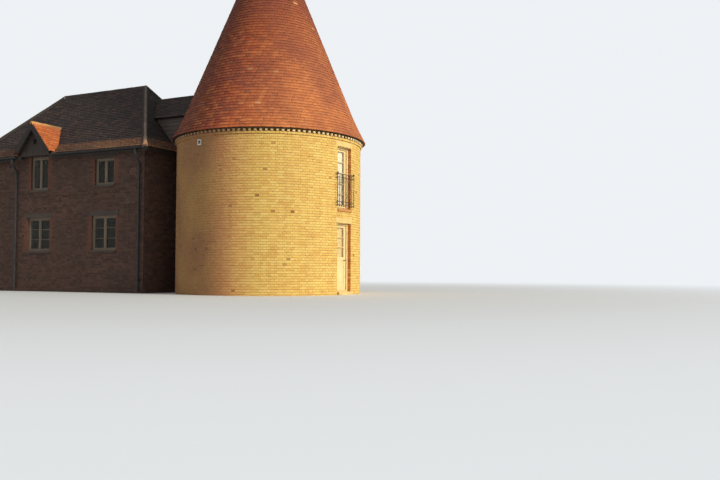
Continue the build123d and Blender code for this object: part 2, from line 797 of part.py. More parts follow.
def build_hip(end_x, ridge_x, side):
    """Tiles down one hip, steeper above the sprocketed foot."""
    share = wing_sprocket_run / wing_half_depth
    foot = Vector(end_x, side * wing_half_depth, wing_eaves_level)
    knee_x = end_x + share * (ridge_x - end_x)
    knee = Vector(knee_x, side * (wing_half_depth - wing_sprocket_run), wing_eaves_level + wing_sprocket_rise)
    head = Vector(ridge_x, 0, wing_ridge_level)
    outward = math.copysign(1, end_x - ridge_x)
    lower_run = (knee_x - end_x) * -outward
    upper_run = (ridge_x - knee_x) * -outward
    upper_rise = wing_ridge_level - knee.Z
    lower_dir = (knee - foot).normalized()
    upper_dir = (head - knee).normalized()
    extra = 2 * ridge_tile_wing
    lower = tile_line(
        tuple(foot - lower_dir * extra), tuple(knee + lower_dir * extra),
        (0, side * wing_sprocket_run, -wing_sprocket_rise), (outward * lower_run, 0, -wing_sprocket_rise),
    )
    upper = tile_line(
        tuple(knee - upper_dir * extra), tuple(head + upper_dir * extra),
        (0, side * (wing_half_depth - wing_sprocket_run), -upper_rise), (outward * upper_run, 0, -upper_rise),
    )
    lower = lower & box((wing_start_x, wing_end_x), (-wing_half_depth, wing_half_depth), (0, knee.Z))
    ridge_side = sorted((ridge_x, ridge_x + outward * reach))
    upper = upper & box(ridge_side, sorted((0, side * reach)), (knee.Z, reach))
    return lower + upper


def build_ridge_tiles():
    """Half-round tiles along the ridges of wing, dormer and link, and down the four hips."""
    upper_rise = wing_ridge_level - wing_eaves_level - wing_sprocket_rise
    upper_run = wing_half_depth - wing_sprocket_run
    main = tile_line(
        (wing_ridge_start_x, 0, wing_ridge_level), (wing_ridge_end_x, 0, wing_ridge_level),
        (0, upper_run, -upper_rise), (0, -upper_run, -upper_rise),
    )
    link_end = -(kiln_eaves_radius - kiln_flare - (link_ridge_level - kiln_wall_height) / slope_tan)
    link_fall = link_ridge_level - link_eaves_level
    link = tile_line(
        (wing_ridge_end_x, 0, link_ridge_level), (link_end, 0, link_ridge_level),
        (0, link_half_width, -link_fall), (0, -link_half_width, -link_fall),
    )
    link = link - wing_envelope(0) - kiln_clearance()
    front = -wing_half_depth - dormer_verge_reach - barge_thickness
    dormer_fall = dormer_ridge_level - dormer_eaves_level
    dormer = tile_line(
        (dormer_x, front, dormer_ridge_level), (dormer_x, 0, dormer_ridge_level),
        (dormer_half_width, 0, -dormer_fall), (-dormer_half_width, 0, -dormer_fall),
    )
    dormer = dormer - wing_envelope(0)
    pieces["ridge_tiles"] = group(main, link, dormer)
    hips = []
    for end_x, ridge_x in ((wing_start_x, wing_ridge_start_x), (wing_end_x, wing_ridge_end_x)):
        for side in (-1, 1):
            hips.append(build_hip(end_x, ridge_x, side))
    pieces["hip_tiles"] = group(*hips)


def gutter_line(x, side):
    """Half-round gutter along a long side of the wing, between two x values."""
    top = wing_eaves_level - gutter_drop
    y = side * (wing_half_depth + gutter_radius)
    length = x[1] - x[0]
    tube = Cylinder(gutter_radius, length) - Cylinder(gutter_radius - gutter_thickness, length + 2)
    around = (y - 2 * gutter_radius, y + 2 * gutter_radius)
    below = box((x[0] - 1, x[1] + 1), around, (top - 2 * gutter_radius, top))
    trough = (Pos((x[0] + x[1]) / 2, y, top) * Rot(0, 90, 0) * tube) & below
    plug = Rot(0, 90, 0) * Cylinder(gutter_radius - gutter_thickness, gutter_thickness)
    for centre in (x[0] + gutter_thickness / 2, x[1] - gutter_thickness / 2):
        trough += (Pos(centre, y, top) * plug) & below
    return trough


def downpipe(x, side):
    """Round pipe from a gutter, back to the wall with two bends, and down to the ground."""
    y_gutter = side * (wing_half_depth + gutter_radius)
    y_wall = side * (wing_back_y + pipe_wall_gap + pipe_radius)
    top = wing_eaves_level - gutter_drop - gutter_radius + gutter_thickness
    knee = top - pipe_drop
    foot = knee - abs(y_gutter - y_wall) - pipe_bend_radius
    route = [(x, y_gutter, top), (x, y_gutter, knee), (x, y_wall, foot), (x, y_wall, pipe_foot_level)]
    path = FilletPolyline(*route, radius=pipe_bend_radius)
    section = Plane(origin=(x, y_gutter, top), z_dir=(0, 0, -1)) * Circle(pipe_radius)
    pipe = sweep(section, path=path)
    for level in pipe_clip_levels:
        z = (level, level + pipe_clip_height)
        pipe += box((x - pipe_radius, x + pipe_radius), sorted((side * wing_back_y, y_wall)), z)
    return pipe


def build_rainwater_goods():
    """Gutters along both long sides and their downpipes."""
    lines = []
    gap = dormer_half_width + gutter_dormer_gap
    left_run = (wing_start_x + gutter_end_gap, dormer_x - gap)
    right_run = (dormer_x + gap, wing_end_x - gutter_end_gap)
    lines.append(gutter_line(left_run, -1) + downpipe(left_run[1] - pipe_inset / 2, -1))
    lines.append(gutter_line(right_run, -1) + downpipe(right_run[1] - pipe_inset, -1))
    full_run = (left_run[0], right_run[1])
    back = gutter_line(full_run, 1)
    for x in (full_run[0] + pipe_inset, full_run[1] - pipe_inset):
        back += downpipe(x, 1)
    lines.append(back)
    pieces["gutters_and_downpipes"] = group(*lines)


def write_pieces():
    """Move every piece so that the origin is under the middle of the overall box, and write it."""
    whole = Compound(children=[Compound(children=shape.solids()) for shape in pieces.values()]).bounding_box()
    shift = Pos(-(whole.min.X + whole.max.X) / 2, -(whole.min.Y + whole.max.Y) / 2, -whole.min.Z)
    print("kiln axis at", -(whole.min.X + whole.max.X) / 2, -(whole.min.Y + whole.max.Y) / 2)
    os.makedirs("parts", exist_ok=True)
    for name, shape in pieces.items():
        export_step(shift * Compound(children=shape.solids()), f"parts/{name}.step")


build_kiln_walls()
build_cornice()
build_kiln_roof()
build_cowl()
build_kiln_floors()
build_door()
build_tall_window()
build_railing()
build_vent()
build_wing_walls()
build_wing_floors()
build_wing_roof()
build_dormer()
build_link()
build_ridge_tiles()
build_rainwater_goods()
write_pieces()
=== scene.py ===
# Oast house: a round brick kiln under a tiled cone, and a brick wing under a hipped tiled roof.
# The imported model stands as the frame; what follows lays its bricks and tiles and finishes its surfaces,
# in the order in which such a building goes up. Metres, +Z up.
import math

import bpy
import numpy as np
from mathutils import Matrix


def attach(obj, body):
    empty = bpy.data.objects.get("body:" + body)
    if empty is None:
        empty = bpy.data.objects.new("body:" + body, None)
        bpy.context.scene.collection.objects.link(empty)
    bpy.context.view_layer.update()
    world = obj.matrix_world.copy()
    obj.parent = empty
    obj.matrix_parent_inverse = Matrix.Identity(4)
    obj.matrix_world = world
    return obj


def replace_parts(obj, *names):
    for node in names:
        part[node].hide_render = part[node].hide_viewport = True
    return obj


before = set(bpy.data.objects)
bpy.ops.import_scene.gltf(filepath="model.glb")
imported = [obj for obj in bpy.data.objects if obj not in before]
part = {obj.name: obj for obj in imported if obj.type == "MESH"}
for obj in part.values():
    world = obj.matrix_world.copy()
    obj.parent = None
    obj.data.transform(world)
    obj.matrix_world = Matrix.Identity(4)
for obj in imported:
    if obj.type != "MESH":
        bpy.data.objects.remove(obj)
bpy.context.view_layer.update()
chance = np.random.default_rng(7)

# Kiln wall: hand-made bricks, 75 mm to the course, in English bond round the kiln, with lime mortar
# struck a little behind their faces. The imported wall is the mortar, and each brick is laid proud of it.
kiln_x = 4.18
kiln_radius = 2.9
kiln_wall_top = 4.77
course = 0.075
bed_joint = 0.012
cross_joint = 0.005
stretcher = 2 * math.pi * kiln_radius / 81
flat_stretcher = 0.225
brick_proud = 0.006
uneven = 0.0012
least_height, least_length, least_width = 0.015, 0.02, 0.018
skin = 0.12
door_turn = math.radians(-6.8)
opening_half = 0.36
door_head = 2.14
tall_sill = 2.56
tall_head = 4.43
lintel_height = 0.15
kiln_bearing = 0.0625
step_top = 0.1
cornice_low = 4.605


def placed(name, data):
    """Object in the scene that holds the data."""
    made = bpy.data.objects.new(name, data)
    bpy.context.scene.collection.objects.link(made)
    return made


def piece(name, points, faces, material, body="building", tones=None, smooth=False):
    """Mesh from points (n, 3) and four-cornered faces (m, 4); tones are named values, one for each point."""
    points = np.ascontiguousarray(points, np.float32).reshape(-1, 3)
    faces = np.ascontiguousarray(faces, np.int32).reshape(-1, 4)
    mesh = bpy.data.meshes.new(name)
    mesh.vertices.add(len(points))
    mesh.vertices.foreach_set("co", points.ravel())
    mesh.loops.add(faces.size)
    mesh.loops.foreach_set("vertex_index", faces.ravel())
    mesh.polygons.add(len(faces))
    mesh.polygons.foreach_set("loop_start", np.arange(0, faces.size, 4, dtype=np.int32))
    mesh.polygons.foreach_set("use_smooth", np.full(len(faces), smooth))
    for tone, values in (tones or {}).items():
        mesh.attributes.new(tone, "FLOAT", "POINT").data.foreach_set("value", np.asarray(values, np.float32))
    mesh.update(calc_edges=True)
    mesh.materials.append(material)
    made = placed(name, mesh)
    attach(made, body)
    return made


def plain_axes(x, y, z):
    """Points from coordinates that spread to one shape."""
    return np.stack(np.broadcast_arrays(x, y, z), -1)


def copies(faces, count, size):
    """Corner numbers for count copies of a shape that has size points."""
    return (np.asarray(faces)[None] + size * np.arange(count)[:, None, None]).reshape(-1, 4)


def skirt(corners, steps):
    """Side faces between rings of so many corners, each ring one step above the last."""
    ring = np.arange(corners)
    on = (ring + 1) % corners
    return [np.stack([ring, on, on + corners, ring + corners], 1) + corners * step for step in range(steps)]


def random_tones(count, size, **others):
    """Two chance values for each of count shapes of size points, and the others as they are."""
    tone, kind = (np.repeat(chance.random(count), size) for _ in range(2))
    return {"tone": tone, "kind": kind, **others}


def clear_spans(low, high, start, end, holes):
    """Stretches (low, high, start, end) of a course that miss every hole (left, right, bottom, top)."""
    touch = 0.002
    hits = [hole for hole in holes if hole[0] < end - touch and hole[1] > start + touch
            and hole[2] < high - touch and hole[3] > low + touch]
    if not hits:
        return [(low, high, start, end)] if end - start > least_length and high - low > least_height else []
    left, right, bottom, top = min(hits)
    near, far = max(left, start), min(right, end)
    rest = ((low, high, start, left), (low, high, right, end),
            (low, bottom, near, far), (top, high, near, far))
    return [span for a, b, c, d in rest if a < b and c < d for span in clear_spans(a, b, c, d, holes)]


def raised(corners, back, front, place, arris=0.004, closed=False):
    """Flat pieces standing on a face: corners (n, 4, 2) go anticlockwise as seen from outside.

    Each is three rings of four corners: one sunk at back, one at full size just behind the front, and
    the front itself, drawn in by its worn arris. place turns distances along the face, out of it and up.
    """
    corners = np.asarray(corners, float)
    count = len(corners)
    front = np.broadcast_to(front, (count, 4))
    drawn_in = corners + np.sign(corners.mean(1, keepdims=True) - corners) * arris
    flat = np.stack([corners, corners, drawn_in], 1)
    out = np.stack([np.full((count, 4), float(back)), front - 0.75 * arris, front], 1)
    points = place(flat[..., 0], out, flat[..., 1])
    shape = np.concatenate([*skirt(4, 2), [[8, 9, 10, 11]], *([[[3, 2, 1, 0]]] if closed else [])])
    return points.reshape(-1, 3), copies(shape, count, 12), random_tones(count, 12)


def brick_shapes(low, high, start, end, place, holes=(), pitch=flat_stretcher, first=0.0,
                 proud=brick_proud, rubbed=()):
    """Bricks in English bond: whole stretchers in one course and headers, half as long, in the next."""
    rows = []
    for k in range(math.floor((low - first) / course), math.ceil((high - first) / course)):
        z0 = max(first + k * course + bed_joint / 2, low)
        z1 = min(first + (k + 1) * course - bed_joint / 2, high)
        if z1 - z0 < least_height:
            continue
        header = k % 2
        step = pitch / 2 if header else pitch
        shift = pitch / 4 if header else 0.0
        for a, b, c, d in clear_spans(z0, z1, start, end, holes):
            mark = np.arange(math.floor((c - shift) / step), math.ceil((d - shift) / step)) * step + shift
            left = np.maximum(mark + cross_joint / 2, c)
            right = np.minimum(mark + step - cross_joint / 2, d)
            keep = right - left > least_width
            rows.append(np.stack(np.broadcast_arrays(left[keep], right[keep], a, b, header), 1))
    rows = np.concatenate(rows)
    count = len(rows)
    corners = rows[:, [[0, 2], [1, 2], [1, 3], [0, 3]]]
    corners = corners + chance.normal(0, uneven, corners.shape)
    front = proud + chance.normal(0, uneven, (count, 1)) + chance.normal(0, uneven / 2, (count, 4))
    points, faces, tones = raised(corners, -0.004, front, place)
    across, level = rows[:, :2].mean(1), rows[:, 2:4].mean(1)
    bright = np.zeros(count)
    for a, b, c, d in rubbed:
        bright = np.maximum(bright, (across > a) & (across < b) & (level > c) & (level < d))
    return points, faces, {**tones, "header": np.repeat(rows[:, 4], 12), "rubbed": np.repeat(bright, 12)}


def joined(name, shapes, material):
    """One piece from several (points, faces, tones)."""
    points, faces, tones = zip(*shapes)
    offsets = np.append(0, np.cumsum([len(item) for item in points]))
    faces = np.concatenate([item + offset for item, offset in zip(faces, offsets)])
    tones = {key: np.concatenate([item[key] for item in tones]) for key in tones[0]}
    return piece(name, np.concatenate(points), faces, material, tones=tones)


def lay_bricks(name, low, high, start, end, place, material, slot, holes=(), **choices):
    """Piece of bricks laid over one face."""
    return joined(name, [brick_shapes(low, high, start, end, place, holes, **choices)], material)


def round_kiln(along, out, up):
    """Round the kiln: along is the arc at the wall's face, counted from +X."""
    angle = along / kiln_radius
    radius = kiln_radius + out
    return plain_axes(kiln_x + radius * np.cos(angle), radius * np.sin(angle), up)


def feed(tree, inputs, feeds):
    """Links sockets to inputs, by name or number, and sets the others; a colour may have three parts."""
    for key, value in feeds.items():
        if isinstance(value, bpy.types.NodeSocket):
            tree.links.new(value, inputs[key])
        else:
            plain_colour = inputs[key].type == "RGBA" and len(value) == 3
            inputs[key].default_value = (*value, 1) if plain_colour else value


def node(tree, kind, feeds=None, **settings):
    """Shader node with its settings and what feeds its inputs."""
    made = tree.nodes.new("ShaderNode" + kind)
    for key, value in settings.items():
        setattr(made, key, value)
    feed(tree, made.inputs, feeds or {})
    return made


def ramp(tree, value, *stops):
    """Colour ramp through stops (place, red, green, blue)."""
    made = node(tree, "ValToRGB", {0: value})
    while len(made.color_ramp.elements) < len(stops):
        made.color_ramp.elements.new(0.5)
    for element, (spot, *colour) in zip(made.color_ramp.elements, stops):
        element.position = spot
        element.color = (*colour, 1)
    return made.outputs[0]


def mixed(tree, factor, first, second, kind="MIX"):
    """Mix of two colours."""
    return node(tree, "Mix", {0: factor, 6: first, 7: second}, data_type="RGBA", blend_type=kind).outputs[2]


def maths(tree, kind, first, second=0.0):
    """One step of arithmetic."""
    return node(tree, "Math", {0: first, 1: second}, operation=kind).outputs[0]


def times(tree, first, second):
    """One value times another."""
    return maths(tree, "MULTIPLY", first, second)


def plus(tree, first, second):
    """One value and another."""
    return maths(tree, "ADD", first, second)


def over(tree, first, second):
    """True where the first is the greater."""
    return maths(tree, "GREATER_THAN", first, second)


def ease(tree, value, start, end, top=1.0):
    """Goes from 0 at start to top at end, whichever of them is the greater."""
    span = {"Value": value, "From Min": start, "From Max": end, "To Max": top}
    return node(tree, "MapRange", span).outputs[0]


def here(tree):
    """Coordinates of the shaded point, X, Y and Z."""
    return node(tree, "SeparateXYZ", {0: node(tree, "TexCoord").outputs["Object"]}).outputs


def tone_of(tree, name):
    """The value of that name that each brick or tile carries."""
    return node(tree, "Attribute", attribute_name=name).outputs["Fac"]


def noise(tree, scale, detail=3.0, stretch=None, rough=0.5):
    """Noise over the piece's own coordinates, stretched where asked; about 0.5 on average."""
    spot = node(tree, "TexCoord").outputs["Object"]
    if stretch is not None:
        spot = node(tree, "Mapping", {"Vector": spot, "Scale": stretch}).outputs[0]
    made = node(tree, "TexNoise", {"Vector": spot, "Scale": scale, "Detail": detail, "Roughness": rough})
    return made.outputs["Fac"]


def effect(name, given, height=True):
    """Empty node group with inputs of the given values, which puts out a colour and maybe a height."""
    tree = bpy.data.node_groups.new(name, "ShaderNodeTree")
    for label, value in given.items():
        kind = "Float" if isinstance(value, float) else "Color" if len(value) == 4 else "Vector"
        made = tree.interface.new_socket(label, in_out="INPUT", socket_type="NodeSocket" + kind)
        made.default_value = value
    tree.interface.new_socket("Colour", in_out="OUTPUT", socket_type="NodeSocketColor")
    if height:
        tree.interface.new_socket("Height", in_out="OUTPUT", socket_type="NodeSocketFloat")
    return tree, tree.nodes.new("NodeGroupInput").outputs, tree.nodes.new("NodeGroupOutput").inputs


def use(tree, group, *values):
    """Places a node group in a material, with what feeds each of its inputs in turn."""
    made = tree.nodes.new("ShaderNodeGroup")
    made.node_tree = group
    feed(tree, made.inputs, dict(enumerate(values)))
    return made.outputs


def finish_of(name, roughness, **constants):
    """Material with a plain Principled shader; returns it, its tree and its shader's inputs."""
    material = bpy.data.materials.new(name)
    material.use_nodes = True
    tree = material.node_tree
    shader = tree.nodes["Principled BSDF"].inputs
    shader["Roughness"].default_value = roughness
    for key, value in constants.items():
        shader[key.replace("_", " ")].default_value = value
    return material, tree, shader


def coat(tree, shader, colour, height, depth):
    """Feeds the shader its colour, and a height of the given depth to its normal."""
    raised_skin = node(tree, "Bump", {"Height": height, "Distance": depth, "Strength": 1.0})
    feed(tree, shader, {"Base Color": colour, "Normal": raised_skin.outputs[0]})


# Shared effect: colour drifts in broad patches and fine specks, as on anything fired or left outdoors
white, black = (1, 1, 1, 1), (0, 0, 0, 1)
drift, given, out = effect("Drift", {
    "Colour": white, "Patch Colour": white, "Patches": 0.5, "Patch Scale": 1.0, "Speckle": 0.2,
    "Speckle Scale": 60.0})
broad = noise(drift, given["Patch Scale"], 4.0)
fine = noise(drift, given["Speckle Scale"], rough=0.7)
patchy = times(drift, ease(drift, broad, 0.38, 0.66), given["Patches"])
swing = times(drift, maths(drift, "SUBTRACT", fine, 0.5), given["Speckle"])
patched = mixed(drift, patchy, given["Colour"], given["Patch Colour"])
bright = plus(drift, times(drift, swing, 2.0), 1.0)
speckled = node(drift, "HueSaturation", {"Color": patched, "Value": bright})
feed(drift, out, {"Colour": speckled.outputs[0], "Height": fine})

# Shared effect: rain runs down a wall and leaves dark streaks, long upright and narrow across
streaks, given, out = effect("Rain Streaks", {"Colour": white, "Grime": black, "Amount": 0.3}, height=False)
run = ease(streaks, noise(streaks, 2.2, 5.0, (1, 1, 0.16), 0.6), 0.5, 0.78)
washed = times(streaks, run, given["Amount"])
feed(streaks, out, {"Colour": mixed(streaks, washed, given["Colour"], given["Grime"])})


def brick_finish(name, stops, burnt, patch, darkening_colour, turn=None, patches=0.45, stained=0.35):
    """Fired clay: each brick takes its colour from the ramp by its tone, and a few are burnt dark."""
    material, tree, shader = finish_of(name, 0.88, Specular_IOR_Level=0.15)
    share = plus(tree, times(tree, tone_of(tree, "header"), 0.72), 0.18)
    dark = times(tree, ease(tree, tone_of(tree, "kind"), 0.98, 0.997), share)
    colour = mixed(tree, dark, ramp(tree, tone_of(tree, "tone"), *stops), burnt)
    if turn:
        colour = turn(tree, colour)
    colour, height = use(tree, drift, colour, patch, patches, 0.9, 0.22, 45.0)
    coat(tree, shader, use(tree, streaks, colour, darkening_colour, stained)[0], height, 0.004)
    return material


def redder_and_painted_shade_west(tree, colour):
    """The kiln's bricks are tinted redder round its west side, partly their own colour and partly painted
    shade, and are darkened there as painted shade.
    """
    east = here(tree)[0]
    redder = ease(tree, east, kiln_x + 1.3, kiln_x + 0.2, 0.62)
    # painted shade: the kiln's west side is darkened, standing in for shade
    darker = ease(tree, east, kiln_x + 0.7, kiln_x - 0.5)
    colour = mixed(tree, redder, colour, (0.60, 0.19, 0.11))
    return mixed(tree, darker, colour, (0.52, 0.56, 0.68), "MULTIPLY")


kiln_brick = brick_finish(
    "kiln_brick",
    [(0.0, 0.64, 0.385, 0.10), (0.3, 0.69, 0.45, 0.12), (0.65, 0.72, 0.50, 0.14), (0.9, 0.75, 0.54, 0.165),
     (1.0, 0.67, 0.40, 0.12)],
    (0.22, 0.085, 0.035), (0.66, 0.40, 0.11), (0.34, 0.19, 0.08), redder_and_painted_shade_west, 0.3, 0.15,
)


def mortar_finish(name, colour, dark, outside=None):
    """Lime mortar with coarse sand, fallen out here and there along its bed; limewashed in the rooms."""
    material, tree, shader = finish_of(name, 0.95, Specular_IOR_Level=0.1)
    spot = here(tree)
    face = outside(tree, spot) if outside else 0.0
    lost = ease(tree, noise(tree, 6.0, 2.0, (1, 1, 3)), 0.61, 0.65, 0.85)
    gappy = mixed(tree, times(tree, lost, face), colour, tuple(0.25 * value for value in dark))
    colour, height = use(tree, drift, gappy, dark, 0.7, 1.4, 0.3, 140.0)
    colour = use(tree, streaks, colour, dark, 0.4)[0]
    if outside:
        bed = maths(tree, "LESS_THAN", maths(tree, "FRACT", maths(tree, "DIVIDE", spot[2], course)), 0.14)
        dirty = plus(tree, times(tree, bed, 0.35), times(tree, height, 0.3))
        colour = mixed(tree, face, mixed(tree, dirty, (0.44, 0.40, 0.33), (0.20, 0.165, 0.125)), colour)
    coat(tree, shader, colour, height, 0.003)
    return material


def kiln_outside(tree, spot):
    """True on the kiln wall's outer skin, where its distance from the kiln's axis is nearly the radius."""
    east = maths(tree, "SUBTRACT", spot[0], kiln_x)
    square = plus(tree, times(tree, east, east), times(tree, spot[1], spot[1]))
    return over(tree, square, (kiln_radius - skin) ** 2)


def dress(material, *names):
    """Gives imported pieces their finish."""
    for name in names:
        part[name].data.materials.clear()
        part[name].data.materials.append(material)


kiln_mortar = mortar_finish("kiln_mortar", (0.44, 0.25, 0.085), (0.32, 0.17, 0.065), kiln_outside)
dress(kiln_mortar, *[f"kiln_wall_{k}" for k in range(1, 7)], "kiln_wall_over_door", "kiln_wall_over_window")
turn_arc = door_turn * kiln_radius
half_arc = math.asin(opening_half / kiln_radius) * kiln_radius
lintel_arc = half_arc + kiln_bearing
kiln_holes = [(turn_arc - half, turn_arc + half, low, high) for half, low, high in (
    (half_arc, -1.0, door_head), (lintel_arc, door_head, door_head + lintel_height),
    (half_arc, tall_sill - course, tall_head), (lintel_arc, tall_head, tall_head + lintel_height))]
half_round = math.pi * kiln_radius
kiln_first = cornice_low - 61 * course


def brick_ring(name, low, high, place, material, first, **choices):
    """Piece of bricks laid all the way round the kiln."""
    lay_bricks(name, low, high, -half_round, half_round, place, material, "kiln_brick", pitch=stretcher,
               first=first, **choices)


brick_ring("kiln_bricks", 0.0, cornice_low, round_kiln, kiln_brick, kiln_first, holes=kiln_holes)


def turned(turn):
    """Axes with x out from the kiln's axis at the given turn, y across and z up."""
    c, s = math.cos(turn), math.sin(turn)
    return lambda x, y, z: plain_axes(kiln_x + x * c - y * s, x * s + y * c, z)


doorway = turned(door_turn)
# painted shade: the reveals' bricks are redder and darker than the wall's, for reveals standing in shade and
# lit by reflected light
reveal_brick_painted_shade = brick_finish(
    "reveal_brick_painted_shade",
    [(0.0, 0.54, 0.19, 0.05), (0.5, 0.70, 0.28, 0.075), (1.0, 0.80, 0.40, 0.12)],
    (0.20, 0.065, 0.03), (0.48, 0.17, 0.05), (0.26, 0.10, 0.045),
)
reveal_in = 2.7677
reveal_out = math.sqrt(kiln_radius**2 - opening_half**2)
for side, label in ((-1, "left"), (1, "right")):
    def jamb(along, out, up, side=side):
        """Side of the doorway: along runs out through the wall or back in, so that faces look inward."""
        return doorway(along * side, side * (opening_half - out), up)
    span = sorted((side * reveal_in, side * reveal_out))
    for low, high, opening in ((step_top, door_head, "door"), (tall_sill, tall_head, "tall_window")):
        lay_bricks(f"{opening}_{label}_reveal_bricks", low, high, *span, jamb, reveal_brick_painted_shade, "kiln_brick",
                   first=kiln_first, proud=0.005)

# Kiln cornice: one brick course oversails the wall, and a row of dentils, every other header left
# standing out, carries the eaves tiles, with a recessed course above them whose bricks are painted
# near black as painted shade under the eaves.
oversail = 0.028
dentil_low = 4.68
dentil_count = 118
dentil_width = 0.072


def cornice_course(along, out, up):
    """Round the kiln, proud of its face by as much as the cornice oversails."""
    return round_kiln(along, out + oversail, up)


def solid_blocks(name, blocks, place, material, body="building", chamfer=0.004):
    """Blocks with worn edges, from (centre, half size) pairs.

    Two squares of eight points each, with their corners cut back, are joined into a block.
    """
    centres, half = np.array(blocks, float).transpose(1, 0, 2)
    count = len(centres)
    square = np.array([(-1, -1), (1, -1), (1, 1), (-1, 1)])
    rings = []
    for level, shrink in ((-1, 1), (-1, 0), (1, 0), (1, 1)):
        size = half[:, None, :] - chamfer * np.array([shrink, shrink, 1 - shrink])
        rings.append(centres[:, None, :] + np.insert(square, 2, level, 1) * size)
    shape = np.concatenate(rings, 1)
    points = place(shape[..., 0], shape[..., 1], shape[..., 2])
    faces = np.concatenate([*skirt(4, 3), [[3, 2, 1, 0], [12, 13, 14, 15]]])
    return piece(name, points, copies(faces, count, 16), material, body,
                 random_tones(count, 16, header=np.ones(16 * count)))


def into_kiln(along, up, out):
    """Round the kiln for a block drawn along, up and outwards."""
    return round_kiln(along, out, up)


dress(kiln_mortar, "kiln_cornice")
brick_ring("kiln_cornice_course", cornice_low, dentil_low - 0.002, cornice_course, kiln_brick,
           cornice_low - course)
dentil_brick = brick_finish(
    "dentil_brick", [(0.0, 0.66, 0.48, 0.22), (0.6, 0.74, 0.57, 0.29), (1.0, 0.78, 0.63, 0.36)],
    (0.40, 0.22, 0.10), (0.66, 0.44, 0.18), (0.30, 0.18, 0.09), redder_and_painted_shade_west,
)
dentil_arc = (np.arange(dentil_count) + 0.5) * 2 * half_round / dentil_count - half_round
dentils = [((arc, dentil_low + 0.0355, 0.032), (dentil_width / 2, 0.0325, 0.036)) for arc in dentil_arc]
solid_blocks("kiln_dentils", dentils, into_kiln, dentil_brick)
# painted shade: the neck bricks between the dentils are near black, standing in for shade under the eaves
neck_brick_painted_shade = brick_finish("neck_brick_painted_shade", [(0.0, 0.12, 0.06, 0.03), (1.0, 0.24, 0.13, 0.06)],
                           (0.05, 0.03, 0.02), (0.10, 0.06, 0.035), (0.05, 0.03, 0.02))
brick_ring("kiln_neck_bricks", dentil_low, kiln_wall_top, round_kiln, neck_brick_painted_shade, dentil_low - course,
           proud=0.003)

# The cornice's bed of mortar is a ring: the four corners of its section are swept round in even steps
bed_steps = 240
bed_angle = np.linspace(-math.pi, math.pi, bed_steps, endpoint=False)[:, None]
bed_out = np.array([-0.002, 0.026, 0.026, -0.002])
bed_level = np.array([cornice_low + 0.002, cornice_low + 0.002, dentil_low - 0.004, dentil_low - 0.004])
near = np.arange(bed_steps)[:, None] * 4 + np.arange(4)
beyond = np.roll(near, -1, 0)
bed_faces = np.stack([near, beyond, np.roll(beyond, -1, 1), np.roll(near, -1, 1)], -1)
bed_points = round_kiln(bed_angle * kiln_radius, bed_out, bed_level)
bed = piece("kiln_cornice_bed", bed_points, bed_faces, kiln_mortar)
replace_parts(bed, "kiln_cornice")

# Cone: plain hand-made clay tiles, 165 mm wide and 12 mm thick, hung at a 100 mm gauge in courses that
# narrow towards the throat. Their tails kick up and stray a little, and the eaves course is doubled.
gauge = 0.1
tile_width = 0.165
tile_thickness = 0.012
tile_camber = 0.003
tile_lift = 0.024
tile_stray = 0.0022
tile_lap = 0.025
head_lift = 0.008
eaves_length, eaves_lift = 0.09, 0.0125
cone_gap = 0.0015


def tile_piece(name, rows, place, material):
    """Tiles from rows of (tail left, tail right, head left, head right, tail, head, lift).

    Each has a tail edge, a top with a slight camber, and two sides, and leans from its lifted tail down
    to its head, which lies under the course above.
    """
    rows = np.concatenate(rows)
    count = len(rows)
    part_way = np.array([0.0, 0.5, 1.0])
    hump = tile_camber * 4 * part_way * (1 - part_way)
    low_u = rows[:, :1] + (rows[:, 1:2] - rows[:, :1]) * part_way
    high_u = rows[:, 2:3] + (rows[:, 3:4] - rows[:, 2:3]) * part_way
    low_v, high_v = (np.broadcast_to(rows[:, k, None], low_u.shape) for k in (4, 5))
    up = rows[:, 6:]
    drop = up - tile_lift + head_lift
    under = np.repeat(drop - tile_thickness, 2, 1)
    points = place(
        np.concatenate([low_u, low_u, high_u, rows[:, 2:4]], 1),
        np.concatenate([low_v, low_v, high_v, high_v[:, :2]], 1),
        np.concatenate([up - tile_thickness + hump, up + hump, drop + hump, under], 1),
    )
    faces = [[0, 1, 4, 3], [1, 2, 5, 4], [3, 4, 7, 6], [4, 5, 8, 7], [0, 3, 6, 9], [2, 10, 8, 5]]
    tones = random_tones(count, 11, tail=np.tile([1] * 6 + [0] * 5, count))
    return piece(name, points, copies(faces, count, 11), material, tones=tones)


def tile_row(left, right, head_left, head_right, tail, length):
    """One course with the small faults of hand work: strayed tails, uneven lift, a slight lean."""
    stray = chance.normal(0, tile_stray, len(left))
    lean = chance.normal(0, uneven, len(left))
    lift = tile_lift + np.abs(chance.normal(0, tile_stray, len(left)))
    return np.stack(np.broadcast_arrays(
        left + lean, right + lean, head_left, head_right, tail + stray, tail + length, lift), 1)


def eaves_row(left, right, head_left, head_right, tail):
    """The short course that lies flat under the first."""
    row = tile_row(left, right, head_left, head_right, tail, eaves_length)
    row[:, 6] = eaves_lift
    return row


cone_foot = kiln_radius + 0.14
cone_tan = math.tan(math.radians(67.86))
flare = 0.07
flare_height = 1.0
cone_top = 10.4731
flare_part = np.linspace(0, 1, 9)
flare_radius = cone_foot - flare - flare_height * flare_part / cone_tan + flare * (1 - flare_part) ** 2
profile_r = np.append(flare_radius, 0.65)
profile_z = np.append(kiln_wall_top + flare_height * flare_part, cone_top)
profile_v = np.append(0, np.cumsum(np.hypot(np.diff(profile_r), np.diff(profile_z))))
slope_r = np.gradient(profile_r, profile_v)
slope_z = np.gradient(profile_z, profile_v)


def on_cone(angle, v, out):
    """On the cone: v is the distance up its profile from the eaves, out is square to its surface."""
    radius = np.interp(v, profile_v, profile_r) + out * np.interp(v, profile_v, slope_z)
    level = np.interp(v, profile_v, profile_z) - out * np.interp(v, profile_v, slope_r) + np.minimum(v, 0)
    return plain_axes(kiln_x + radius * np.cos(angle), radius * np.sin(angle), level)


